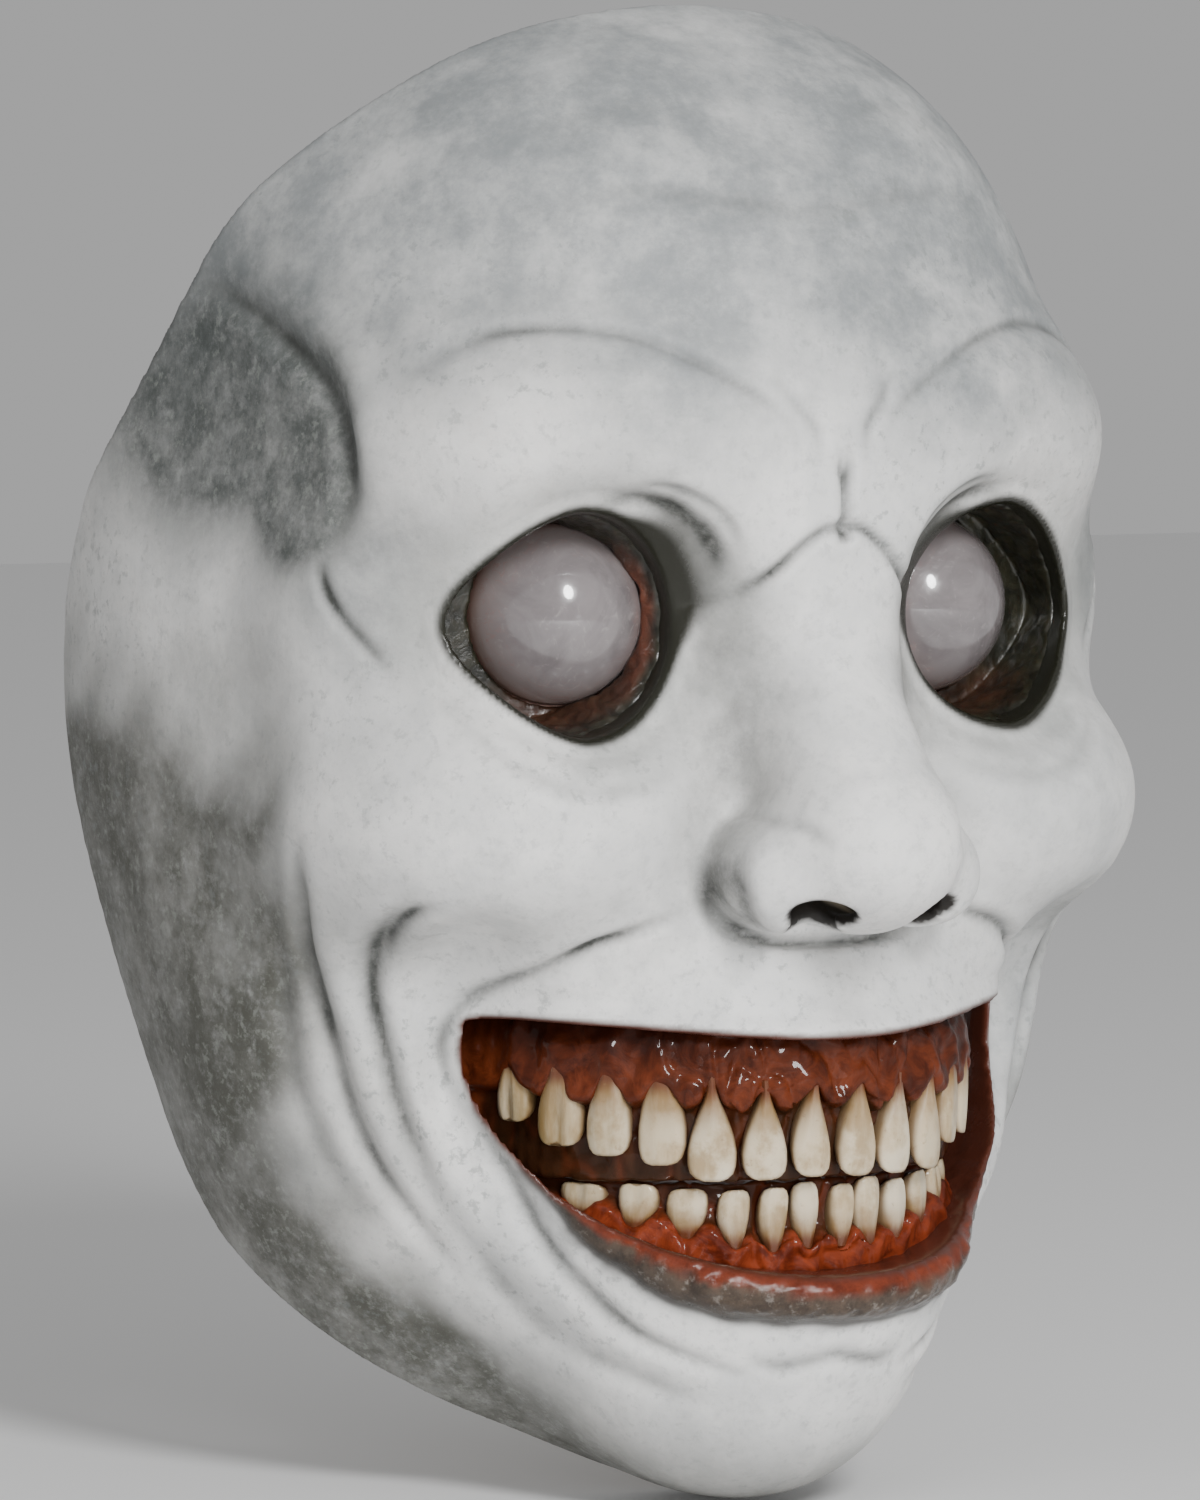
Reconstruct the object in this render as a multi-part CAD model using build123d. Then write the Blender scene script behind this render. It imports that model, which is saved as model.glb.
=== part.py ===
"""Moulded latex costume mask of a grinning ghoul, made as separate pieces.

Frame: millimetres, +Z up as worn, the face looks along -Y and the wearer's left is +X.
The origin is the middle of the line through the two strap snaps, level with the eyes.
"""

from build123d import *
import math
import os

import numpy as np

# ---- driving dimensions ------------------------------------------------------------------

SKIN = 2.5  # thickness of the latex
GLUE = 0.4  # gap filled by adhesive between the latex and what is stuck behind it

EYE_CENTRE = (36.0, -60.0, 1.5)  # centre of the wearer's-left eyeball
EYE_YAW = 12.0  # degrees each eye turns outward
EYE_OPENING_CENTRE = (42.0, 0.5)  # X and Z of the hole in the latex
EYE_OPENING_HALF = (18.8, 18.5)
LENS_RADIUS, LENS_WALL = 15.5, 1.5
LENS_FLANGE_RADIUS = 19.0
SOCKET_HALF = (24.0, 22.0)  # half width and height of the cup around each eye
SOCKET_WALL = 1.5
SOCKET_DEPTH = 30.0  # far enough to reach the latex everywhere before the cup is trimmed to it
SOCKET_LIFT = 2.0  # the cup's floor sits this far in front of the eyeball's middle

MOUTH_HALF_WIDTH = 52.0
MOUTH_TOP, MOUTH_CORNER, MOUTH_BOTTOM = -69.0, -69.5, -108.0  # heights of the opening's edge
MOUTH_SHOULDER = (47.0, -65.8)  # X and Z where the upper edge turns down to the corner
MOUTH_ROUNDNESS = 2.3  # exponent of the lower edge's superellipse
NOSTRIL = (9.0, -100.0, 5.0, 3.6)  # X, Y and half sizes of the wearer's-left nostril
NOSTRIL_TURN = -25.0
NOSTRIL_HEIGHT, NOSTRIL_REACH = -50.0, 14.0  # middle of the hole and how far it runs each way
HOLE_START, HOLE_LENGTH = 45.0, 90.0  # eye and mouth holes: from this far in front of the origin

ARCH_Y = -48.0  # the axis that both rows of teeth curve around
BITE_Z = -93.0  # height where the two gum plates meet
GUM_WALL = 4.5
GUM_SWEEP = 94.0  # degrees either side of the front
UPPER_GUM_PROFILE = [(39.0, -61.0), (42.0, -70.0), (43.4, -81.0), (42.4, BITE_Z + 0.2)]
LOWER_GUM_PROFILE = [(37.5, -113.0), (39.5, -104.0), (39.5, BITE_Z - 0.2)]
# Each tooth of one side: degrees from the middle, half width, tip height, root height, lean.
UPPER_TEETH = [
    (5.6, 3.9, -92.4, -74.5, 0), (16.8, 4.0, -92.6, -75.5, 1), (27.9, 4.1, -92.3, -74.5, -1),
    (39.0, 3.9, -89.3, -74.0, 1), (50.2, 3.8, -88.4, -73.5, 0), (62.2, 4.3, -86.7, -73.5, -1),
    (74.2, 3.6, -84.0, -72.5, 0),
]
LOWER_TEETH = [
    (4.6, 2.7, -93.8, -104.5, 1), (13.2, 2.8, -93.6, -105.0, -1), (22.6, 3.1, -94.4, -104.5, 2),
    (33.4, 3.6, -93.6, -102.5, 1), (45.6, 3.9, -93.4, -101.0, -1), (59.0, 4.2, -93.4, -99.0, 0),
]
UPPER_ROOT_RADIUS, LOWER_ROOT_RADIUS = 43.8, 39.6
TOOTH_DEPTH = 2.7  # half the thickness of a tooth from front to back
# A tooth from root to biting edge: share of its length, of its width and of its depth.
TOOTH_STAGES = [(0.0, 0.66, 0.8), (0.35, 0.84, 1.0), (0.68, 1.0, 0.85), (0.9, 0.84, 0.55), (1.0, 0.5, 0.3)]

PAD_THICK = 8.0
# Pads: turn and half turn, rise and half rise, in degrees seen from the form's centre.
FOREHEAD_PAD = (0, 22, 44, 9)
CHEEK_PAD = (66, 9, -22, 10)
PATCH_THICK = 2.0
PATCH_TURN, PATCH_RISE = 11.0, 9.0  # half size of an anchor patch, in degrees round the form

STRAP_WIDTH, STRAP_THICK = 20.0, 1.4
STRAP_BACK_Y = 45.0  # the strap's run across the back
STRAP_SHOULDER = (68.0, 35.0)  # X and Y where the side run turns into the back run
STRAP_TAB_Y = -9.0  # free end of the tab, in front of the snap
STRAP_SIDE_Y = 12.0  # where the tab bends towards the shoulder
STRAP_BACK_X = 58.0  # where the back run starts
LONG_TURN, SHORT_TURN = 6.0, 5.0  # radius of the strap's wide turns
FOLD_TURN = 1.79  # radius of the tight turn round a bar
LONG_TAIL_X = 40.0  # free end of the long strap
SEAM = 0.1  # between a run and the separately folded layer joined to it
LAYER_STEP = 3.6  # between the two layers of the doubled strap
RING_X = -49.0  # middle of the strap ring
RING_HALF = 4.0  # from there to the middle of each upright bar
BAR_RADIUS = 0.9
SLIDER_HALF = 7.0
SLIDER_BAR_DEPTH = 1.4
SLIDER_MIDDLE_WIDTH, SLIDER_END_WIDTH = 3.0, 1.8
SLIDER_CLEARANCE = 1.0  # between the strap's face and the middle of an outer bar
RAIL = 1.6  # thickness of the ring's and slider's rails
RAIL_Z = STRAP_WIDTH / 2 + 1.3 + RAIL / 2

SNAP_RADIUS = 6.0
# Depths behind the latex's inner face at the snap.
STUD_FRONT, STUD_BACK = 0.6, 1.4
POST_END = 5.5
SOCKET_FRONT, SOCKET_FLOOR = 3.4, 5.7
TAB_DEPTH = 6.5
CAP_THICK = 1.0
POST_RADIUS = 2.5
SNAP_SOCKET_RADIUS = 5.5
SHANK_RADIUS = 1.9
RUNNING_GAP = 0.1

# Side view of the cut rim, from above the crown round temple and jaw to below the chin (Y, Z).
RIM_PROFILE = [
    (-52, 122), (-43, 105), (-32, 90), (-17, 72), (31, 8), (34, 0), (32, -20),
    (18, -78), (1, -108), (-28, -132), (-43, -148), (-60, -166),
]

# ---- head form ---------------------------------------------------------------------------
# The outer surface is where this distance is zero: rounded masses blended with soft joins.
# Each row: centre, half sizes, width of the join. Masses off the middle are mirrored.

MASSES = [
    ((0, -9, -57), (80, 73, 97), 24),  # jaw
    ((48, 18, -22), (32, 50, 50), 22),  # side, in front of the ear
    ((43, -50, -32), (36, 41, 27), 16),  # cheekbone
    ((59, -45, 4), (19, 18, 24), 12),  # outer corner of the eye
    ((32, -60, 31), (37, 27, 20), 14),  # brow
    ((22, -38, 60), (31, 34, 32), 14),  # crown
    ((0, -70, 26), (20, 17, 18), 12),  # between the brows
    ((0, -42, -82), (50, 56, 54), 14),  # mouth
    ((0, -60, -109), (34, 36, 12), 8),  # lower lip
    ((0, -62, -125), (28, 27, 25), 20),  # chin
]
CRANIUM = ((0, -5, 24), (85, 90, 88))
TEMPLE = ((94, -30, 44), (17, 50, 34), 14)
EYE_HOLLOW = ((40, -92, 1), (24, 22, 22), 10)
MOUTH_CORNER_HOLLOW = ((60, -74, -72), (13, 20, 22), 8)
NOSE_RIDGE = ((0, -74, 14), (0, -99, -32), 9.5, 15.0, 10)
NOSE_TIP = ((0, -102, -37), (16, 16, 13), 6)
NOSE_WING = ((15.5, -94.5, -41), (8.5, 12, 9.5), 5)

FORM_CENTRE = np.array([0.0, 0.0, -25.0])
CORE = 40.0  # a distance from the centre that is inside the form everywhere
REACH = 175.0  # a distance from the centre that is outside the form everywhere


def ellipsoid(p, centre, half):
    """Distance in mm to an ellipsoid, close to exact near its surface."""
    q = (p - np.array(centre, float)) / np.array(half, float)
    near = np.sqrt((q * q).sum(-1))
    slope = np.sqrt(((q / np.array(half, float)) ** 2).sum(-1)) + 1e-9
    return near * (near - 1.0) / slope


def tapered_rod(p, start, end, radius_start, radius_end):
    a, b = np.array(start, float), np.array(end, float)
    along = np.clip(((p - a) @ (b - a)) / ((b - a) @ (b - a)), 0, 1)
    nearest = a + along[..., None] * (b - a)
    return np.linalg.norm(p - nearest, axis=-1) - (radius_start + (radius_end - radius_start) * along)


def join(a, b, width):
    """Soft union of two distances."""
    mix = np.clip(0.5 + 0.5 * (b - a) / width, 0, 1)
    return b * (1 - mix) + a * mix - width * mix * (1 - mix)


def carve(a, b, width):
    """Distance a with the shape of distance b softly taken away."""
    return -join(-a, b, width)


def form_distance(points):
    """Distance in mm from points to the outer surface of the head form, negative inside."""
    p = np.array(points, float)
    p[..., 0] = np.abs(p[..., 0])
    d = ellipsoid(p, *CRANIUM)
    for centre, half, width in MASSES:
        d = join(d, ellipsoid(p, centre, half), width)
    d = carve(d, ellipsoid(p, *TEMPLE[:2]), TEMPLE[2])
    d = carve(d, ellipsoid(p, *EYE_HOLLOW[:2]), EYE_HOLLOW[2])
    d = carve(d, ellipsoid(p, *MOUTH_CORNER_HOLLOW[:2]), MOUTH_CORNER_HOLLOW[2])
    d = join(d, tapered_rod(p, *NOSE_RIDGE[:4]), NOSE_RIDGE[4])
    d = join(d, ellipsoid(p, *NOSE_TIP[:2]), NOSE_TIP[2])
    return join(d, ellipsoid(p, *NOSE_WING[:2]), NOSE_WING[2])


def form_points(turns, rises, depth):
    """Grid of points on the form moved inward by depth, seen from its centre.

    turns are degrees round from straight ahead and rises are degrees above level.
    """
    rise = np.radians(rises)[:, None]
    turn = np.radians(turns)[None, :]
    way = np.stack(
        [np.sin(turn) * np.cos(rise), -np.cos(turn) * np.cos(rise), np.sin(rise) + 0 * turn], axis=-1
    )
    near = np.full(way.shape[:2], CORE)
    far = np.full(way.shape[:2], REACH)
    found = np.zeros(way.shape[:2], bool)
    for reach in np.arange(REACH, CORE, -1.0):
        inside = form_distance(FORM_CENTRE + reach * way) < -depth
        first = inside & ~found
        near[first] = reach
        far[first] = reach + 1.0
        found |= inside
    for _ in range(16):
        middle = (near + far) / 2
        inside = form_distance(FORM_CENTRE + middle[..., None] * way) < -depth
        near = np.where(inside, middle, near)
        far = np.where(inside, far, middle)
    return FORM_CENTRE + near[..., None] * way


def even(middle, half, count):
    """Evenly spaced values either side of the middle."""
    return np.linspace(middle - half, middle + half, count)


def form_face(turns, rises, depth):
    """Smooth face through the form's points; every row uses the same stations."""
    stations = [i / (len(turns) - 1) for i in range(len(turns))]
    rows = []
    for row in form_points(turns, rises, depth).tolist():
        rows.append(Wire([Edge.make_spline([Vector(*point) for point in row], parameters=stations)]))
    return Shell.make_loft(rows).faces()[0]


def form_layer(turns, rises, outer_depth, inner_depth):
    """Solid that follows the form between two depths, over a window of turns and rises."""
    outer = form_face(turns, rises, outer_depth)
    inner = form_face(turns, rises, inner_depth)
    walls = []
    for edge in outer.edges():
        partner = min(inner.edges(), key=lambda other: (other.center() - edge.center()).length)
        walls.append(Face.make_surface_from_curves(edge, partner))
    sewn = Face.sew_faces([outer, inner, *walls])[0]
    return Solid(Shell(sewn))


def side_reach(depth):
    """X of the form's side at the snap, at the given depth."""
    near, far = CORE, REACH
    for _ in range(40):
        middle = (near + far) / 2
        inside = form_distance([middle, 0.0, 0.0]) < -depth
        near, far = (middle, far) if inside else (near, middle)
    return near


# ---- small helpers -----------------------------------------------------------------------


def save(name, solid):
    solid.label = name
    export_step(solid, f"parts/{name}.step")


def save_pair(name, solid):
    """Write a piece of the wearer's left and its mirror image on the right."""
    save(f"left_{name}", solid)
    save(f"right_{name}", mirror(solid, about=Plane.YZ))


def disc(radius, x_outer, x_inner):
    """Cylinder along X on the snap's axis between two places, the outer one first."""
    middle = (x_outer + x_inner) / 2
    return Pos(middle, 0, 0) * Rot(0, 90, 0) * Cylinder(radius, x_outer - x_inner)


# ---- skin --------------------------------------------------------------------------------


def rim_prism():
    """Everything in front of the cut rim."""
    first, last = RIM_PROFILE[0], RIM_PROFILE[-1]
    outline = Polyline([*RIM_PROFILE, (-REACH, last[1]), (-REACH, first[1])], close=True)
    return extrude(make_face(Plane.YZ * outline), amount=REACH, both=True)


def eye_prism():
    hole = Pos(*EYE_OPENING_CENTRE) * Ellipse(*EYE_OPENING_HALF)
    return extrude(Plane.XZ.offset(HOLE_START) * hole, amount=HOLE_LENGTH)


def mouth_prism():
    """Opening with a nearly straight upper edge and a full, rounded lower edge."""
    lower = []
    for angle in np.radians(np.linspace(0, 180, 25)):
        across = math.copysign(abs(math.cos(angle)) ** (2 / MOUTH_ROUNDNESS), math.cos(angle))
        down = math.sin(angle) ** (2 / MOUTH_ROUNDNESS)
        height = MOUTH_CORNER + (MOUTH_BOTTOM - MOUTH_CORNER) * down
        lower.append((MOUTH_HALF_WIDTH * across, height))
    side, height = MOUTH_SHOULDER
    upper = [lower[-1], (-side, height), (0, MOUTH_TOP), (side, height), lower[0]]
    outline = Plane.XZ.offset(HOLE_START) * make_face([Spline(*lower), Spline(*upper)])
    return extrude(outline, amount=HOLE_LENGTH)


def nostril_prism():
    x, y, half_x, half_y = NOSTRIL
    oval = Rot(0, 0, NOSTRIL_TURN) * Ellipse(half_x, half_y)
    return Pos(x, y, NOSTRIL_HEIGHT) * extrude(oval, amount=NOSTRIL_REACH, both=True)


def mask_skin():
    skin = form_layer(even(0, 124, 73), even(0, 78, 49), 0, SKIN)
    skin &= rim_prism()
    skin -= mouth_prism()
    for hole in (eye_prism(), nostril_prism()):
        skin -= hole
        skin -= mirror(hole, about=Plane.YZ)
    return skin


# ---- eyes --------------------------------------------------------------------------------


def eye_place():
    """Frame of the left eye: its local Z points out of the face along the gaze."""
    turn = math.radians(EYE_YAW)
    return Plane(origin=EYE_CENTRE, x_dir=(math.cos(turn), math.sin(turn), 0),
                 z_dir=(math.sin(turn), -math.cos(turn), 0))


def eye_lens():
    """Half ball of clear plastic with a flat flange that the latex cup clips over."""
    ball = Sphere(LENS_RADIUS) - Sphere(LENS_RADIUS - LENS_WALL)
    front = Pos(0, 0, LENS_RADIUS) * Box(3 * LENS_RADIUS, 3 * LENS_RADIUS, 2 * LENS_RADIUS)
    flange = Cylinder(LENS_FLANGE_RADIUS, LENS_WALL, align=(Align.CENTER, Align.CENTER, Align.MIN))
    flange -= Cylinder(LENS_RADIUS - LENS_WALL, 4 * LENS_WALL)
    return eye_place() * ((ball & front) + flange)


def eye_socket():
    """Latex cup around the eyeball: a floor with a round hole and a wall up to the opening."""
    half_x, half_z = SOCKET_HALF
    outside = extrude(Ellipse(half_x, half_z), amount=SOCKET_DEPTH)
    inside = extrude(Ellipse(half_x - SOCKET_WALL, half_z - SOCKET_WALL), amount=SOCKET_DEPTH)
    cup = outside - Pos(0, 0, SOCKET_WALL) * inside
    cup -= Cylinder(LENS_RADIUS + RUNNING_GAP, 2 * SOCKET_DEPTH)
    cup = eye_place() * (Pos(0, 0, SOCKET_LIFT) * cup)
    return cup & form_core()


def form_core():
    """Inside of the form, just clear of the latex, in front of the eyeballs."""
    return form_layer(even(0, 60, 37), even(5, 35, 25), SKIN + GLUE, 45.0)


# ---- mouth -------------------------------------------------------------------------------


def gum_plate(profile):
    """Barrel-shaped band round the arch axis, swept from one side of the mouth to the other."""
    inner = [(radius - GUM_WALL, z) for radius, z in reversed(profile)]
    front = Spline(*profile)
    back = Spline(*inner)
    ends = [Line(front @ 1, back @ 0), Line(back @ 1, front @ 0)]
    section = make_face([front, back, *ends])
    band = revolve(Rot(0, 0, -90 - GUM_SWEEP) * (Plane.XZ * section), Axis.Z, 2 * GUM_SWEEP)
    return Pos(0, ARCH_Y, 0) * band


def tooth(angle, half_width, tip, root, lean, radius):
    """Tulip-shaped tooth: slim at the gum, widest two thirds along, with a rounded edge."""
    sections = []
    for along, width, depth in TOOTH_STAGES:
        half_depth = TOOTH_DEPTH * depth
        oval = Ellipse(half_width * width, half_depth)
        sections.append(Pos(0, half_depth - TOOTH_DEPTH, (tip - root) * along) * oval)
    block = Rot(0, lean, 0) * loft(sections)
    turn = math.radians(angle)
    place = Pos(radius * math.sin(turn), ARCH_Y - radius * math.cos(turn), root)
    return place * Rot(0, 0, angle) * block


def tooth_row(teeth, radius):
    """One row from the wearer's right to the left; leans mirror across the middle."""
    right = [tooth(-angle, width, tip, root, -lean, radius) for angle, width, tip, root, lean in teeth]
    left = [tooth(angle, width, tip, root, lean, radius) for angle, width, tip, root, lean in teeth]
    return right[::-1] + left


def save_jaw(name, profile, teeth, radius):
    row = tooth_row(teeth, radius)
    gum = gum_plate(profile)
    for number, one in enumerate(row, start=1):
        gum -= one
        save(f"{name}_tooth_{number:02d}", one)
    save(f"{name}_gum", gum)


# ---- padding and snaps -------------------------------------------------------------------


def pad(turn, turn_half, rise, rise_half):
    depth = SKIN + GLUE
    return form_layer(even(turn, turn_half, 11), even(rise, rise_half, 9), depth, depth + PAD_THICK)


def snap_stud():
    """Flange held between latex and patch, with a post that points into the mask."""
    flange = disc(SNAP_RADIUS, skin_x - STUD_FRONT, skin_x - STUD_BACK)
    return flange + disc(POST_RADIUS, skin_x - STUD_BACK, skin_x - POST_END)


def anchor_patch():
    turn = math.degrees(math.atan2(skin_x, -FORM_CENTRE[1]))
    rise = math.degrees(math.atan2(-FORM_CENTRE[2], skin_x))
    depth = SKIN + GLUE / 2
    patch = form_layer(even(turn, PATCH_TURN, 9), even(rise, PATCH_RISE, 9), depth, depth + PATCH_THICK)
    patch -= disc(SNAP_RADIUS, REACH, skin_x - STUD_BACK)
    return patch - disc(POST_RADIUS, REACH, CORE)


def snap_socket():
    """Ring that grips the post, with a thin floor against the strap."""
    body = disc(SNAP_SOCKET_RADIUS, skin_x - SOCKET_FRONT, tab_x)
    return body - disc(POST_RADIUS + RUNNING_GAP, skin_x, skin_x - SOCKET_FLOOR)


def snap_cap():
    shank = disc(SHANK_RADIUS, tab_x, tab_x - STRAP_THICK)
    return shank + disc(SNAP_RADIUS, tab_x - STRAP_THICK, tab_x - STRAP_THICK - CAP_THICK)


# ---- strap -------------------------------------------------------------------------------


def band(points, radius):
    """Elastic band on edge, following points in plan view with rounded turns."""
    line = FilletPolyline(*points, radius=radius)
    flat = trace(line, STRAP_THICK)
    return extrude(flat, amount=STRAP_WIDTH / 2, both=True)


def tab_hole():
    return disc(SHANK_RADIUS, skin_x, CORE)


def strap_start():
    """From the end of the tab, past the snap, to the corner behind the ear."""
    x = tab_x - STRAP_THICK / 2
    return [(x, STRAP_TAB_Y), (x, STRAP_SIDE_Y), STRAP_SHOULDER]


def long_strap():
    """Left tab, across the back, round the ring's near bar and back through the slider."""
    outer_y = STRAP_BACK_Y + LAYER_STEP
    turn_x = RING_X + RING_HALF - LAYER_STEP / 2
    side = strap_start()
    run_end = turn_x + 4
    main = band([*side, (STRAP_BACK_X, STRAP_BACK_Y), (run_end, STRAP_BACK_Y)], LONG_TURN)
    start = (run_end + SEAM, STRAP_BACK_Y)
    fold = band([start, (turn_x, STRAP_BACK_Y), (turn_x, outer_y), (LONG_TAIL_X, outer_y)], FOLD_TURN)
    return main + fold - tab_hole()


def short_strap():
    """Right tab and corner, then round the ring's far bar and sewn back onto itself."""
    outer_y = STRAP_BACK_Y + LAYER_STEP
    turn_x = RING_X - RING_HALF + LAYER_STEP / 2
    side = [(-x, y) for x, y in strap_start()]
    run_end = turn_x - 3
    main = band([*side, (-STRAP_BACK_X, STRAP_BACK_Y), (run_end, STRAP_BACK_Y)], SHORT_TURN)
    sewn = STRAP_THICK * math.sqrt(0.5)  # step between layers lying on the slanting run
    start = (run_end - SEAM, STRAP_BACK_Y)
    end = (2 - STRAP_SHOULDER[0], STRAP_SHOULDER[1] + 2 + 2 * sewn)
    meet = (end[0] + outer_y - end[1], outer_y)
    fold = band([start, (turn_x, STRAP_BACK_Y), (turn_x, outer_y), meet, end], FOLD_TURN)
    return main + fold - mirror(tab_hole(), about=Plane.YZ)


def strap_ring():
    """Flat rectangular ring: two rails joined by two upright round bars."""
    y = STRAP_BACK_Y + LAYER_STEP / 2
    length = 2 * (RING_HALF + BAR_RADIUS) + RAIL
    ring = Pos(RING_X, y, RAIL_Z) * Box(length, 2 * BAR_RADIUS, RAIL)
    ring += mirror(ring, about=Plane.XY)
    for side in (-RING_HALF, RING_HALF):
        ring += Pos(RING_X + side, y, 0) * Cylinder(BAR_RADIUS, 2 * RAIL_Z)
    return ring


def upright(x, y, width):
    """Slider bar between the rails."""
    return Pos(x, y, 0) * Box(width, SLIDER_BAR_DEPTH, 2 * RAIL_Z)


def strap_slider():
    """Tri-glide frame: a middle bar between the strap's layers and two outer bars."""
    inner_y = STRAP_BACK_Y + LAYER_STEP / 2
    outer_y = STRAP_BACK_Y + LAYER_STEP + STRAP_THICK / 2 + SLIDER_CLEARANCE
    middle_y = (inner_y + outer_y) / 2
    rail = Pos(0, middle_y, RAIL_Z) * Box(2 * SLIDER_HALF, outer_y - inner_y + SLIDER_BAR_DEPTH, RAIL)
    slider = rail + mirror(rail, about=Plane.XY) + upright(0, inner_y, SLIDER_MIDDLE_WIDTH)
    for side in (-1, 1):
        slider += upright(side * (SLIDER_HALF - SLIDER_END_WIDTH / 2), outer_y, SLIDER_END_WIDTH)
    return slider


skin_x = side_reach(SKIN)  # X of the latex's inner face at the left snap
tab_x = skin_x - TAB_DEPTH  # X of the strap tab's face that lies on the snap socket


# ---- write every piece -------------------------------------------------------------------

os.makedirs("parts", exist_ok=True)

save("mask_skin", mask_skin())
save_pair("eye_lens", eye_lens())
save_pair("eye_socket", eye_socket())
save_jaw("upper", UPPER_GUM_PROFILE, UPPER_TEETH, UPPER_ROOT_RADIUS)
save_jaw("lower", LOWER_GUM_PROFILE, LOWER_TEETH, LOWER_ROOT_RADIUS)
save("forehead_pad", pad(*FOREHEAD_PAD))
save_pair("cheek_pad", pad(*CHEEK_PAD))
save_pair("anchor_patch", anchor_patch())
save_pair("snap_stud", snap_stud())
save_pair("snap_socket", snap_socket())
save_pair("snap_cap", snap_cap())
save("long_strap", long_strap())
save("short_strap", short_strap())
save("strap_ring", strap_ring())
save("strap_slider", strap_slider())
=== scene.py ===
import math

import bpy
import numpy as np
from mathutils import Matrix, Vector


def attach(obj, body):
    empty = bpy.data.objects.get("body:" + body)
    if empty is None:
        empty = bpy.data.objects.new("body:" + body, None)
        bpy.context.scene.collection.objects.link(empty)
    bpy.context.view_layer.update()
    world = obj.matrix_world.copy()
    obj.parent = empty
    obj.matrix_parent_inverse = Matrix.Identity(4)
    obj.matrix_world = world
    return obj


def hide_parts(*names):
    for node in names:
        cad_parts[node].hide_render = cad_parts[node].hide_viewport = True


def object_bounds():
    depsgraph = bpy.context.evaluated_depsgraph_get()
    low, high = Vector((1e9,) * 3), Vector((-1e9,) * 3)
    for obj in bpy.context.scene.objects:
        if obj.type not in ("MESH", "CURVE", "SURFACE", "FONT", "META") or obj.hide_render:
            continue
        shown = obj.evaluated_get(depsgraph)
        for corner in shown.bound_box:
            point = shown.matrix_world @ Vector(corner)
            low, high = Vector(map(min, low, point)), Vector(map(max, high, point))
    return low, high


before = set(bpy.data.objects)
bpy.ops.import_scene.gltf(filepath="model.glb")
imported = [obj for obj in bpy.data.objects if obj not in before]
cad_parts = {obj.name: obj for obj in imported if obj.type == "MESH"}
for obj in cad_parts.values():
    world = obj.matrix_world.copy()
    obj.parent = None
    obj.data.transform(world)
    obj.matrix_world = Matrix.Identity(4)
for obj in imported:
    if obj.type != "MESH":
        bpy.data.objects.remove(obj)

import openvdb
from mathutils import Vector

# The looks of the latex ghoul mask. Shapes are worked out in millimetres, in the row frame,
# and become metres when a mesh is made. The face looks along -Y and the wearer's left is +X.

CAD_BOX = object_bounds()
MM = 0.001

# ---- head form ---------------------------------------------------------------------------
# Each row: centre, half sizes, width of the join. Masses off the middle are mirrored. Hollows
# are rows of the same kind that are taken away; the ridge has two ends and their radii instead.

MASSES = [
    ((0, -9, -57), (80, 73, 97), 24),  # jaw
    ((48, 18, -22), (32, 50, 50), 22),  # side, in front of the ear
    ((43, -50, -32), (36, 41, 27), 16),  # cheekbone
    ((59, -45, 4), (19, 18, 24), 12),  # outer corner of the eye
    ((32, -60, 31), (37, 27, 20), 14),  # brow
    ((22, -38, 60), (31, 34, 32), 14),  # crown
    ((0, -70, 26), (20, 17, 18), 12),  # between the brows
    ((0, -42, -82), (50, 56, 54), 14),  # mouth
    ((0, -60, -109), (34, 36, 12), 8),  # lower lip
    ((0, -62, -125), (28, 27, 25), 20),  # chin
]
CRANIUM = ((0, -5, 24), (85, 90, 88))
TEMPLE = ((94, -30, 44), (17, 50, 34), 14)
EYE_HOLLOW = ((40, -92, 1), (24, 22, 22), 10)
MOUTH_CORNER_HOLLOW = ((60, -74, -72), (13, 20, 22), 8)
NOSE_RIDGE = ((0, -74, 14), (0, -99, -32), 9.5, 15.0, 10)
NOSE_TIP = ((0, -102, -37), (16, 16, 13), 6)
NOSE_WING = ((15.5, -94.5, -41), (8.5, 12, 9.5), 5)

SKIN = 2.5  # thickness
# Outline, in Y and Z, of the part of the head form that the mask covers.
RIM_PROFILE = [
    (-52, 122), (-43, 105), (-32, 90), (-17, 72), (31, 8), (34, 0), (32, -20),
    (18, -78), (1, -108), (-28, -132), (-43, -148), (-60, -166), (-190, -166), (-190, 122),
]
EYE_CENTRE = (36.0, -60.0, 1.5)
EYE_YAW = math.radians(12.0)
LENS_RADIUS = 15.5
EYE_OPENING = (42.0, 0.5, 18.8, 18.5)  # centre X and Z, half width and half height
MOUTH_HALF_WIDTH = 52.0
MOUTH_TOP, MOUTH_CORNER, MOUTH_BOTTOM = -69.0, -69.5, -108.0
MOUTH_SHOULDER = (47.0, -65.8)  # X and Z of the upper lip's highest point
MOUTH_ROUNDNESS = 2.3
NOSTRIL = (9.0, -100.0, 5.0, 3.6)  # centre X and Y, half sizes
NOSTRIL_MOUTH = ((11.0, -106.5, -47.0), (5.8, 5.5, 2.7))  # hollow where each nostril opens

ARCH_Y = -48.0
BITE_Z = -93.0
GUM_WALL = 4.5
GUM_SWEEP = 94.0  # degrees to each side of the middle
# Each gum's front: radius from the axis of the tooth rows, and height.
UPPER_GUM_PROFILE = [(39.0, -61.0), (42.0, -70.0), (43.4, -81.0), (42.4, BITE_Z + 0.2)]
LOWER_GUM_PROFILE = [(37.5, -113.0), (39.5, -104.0), (39.5, BITE_Z - 0.2)]
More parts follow.
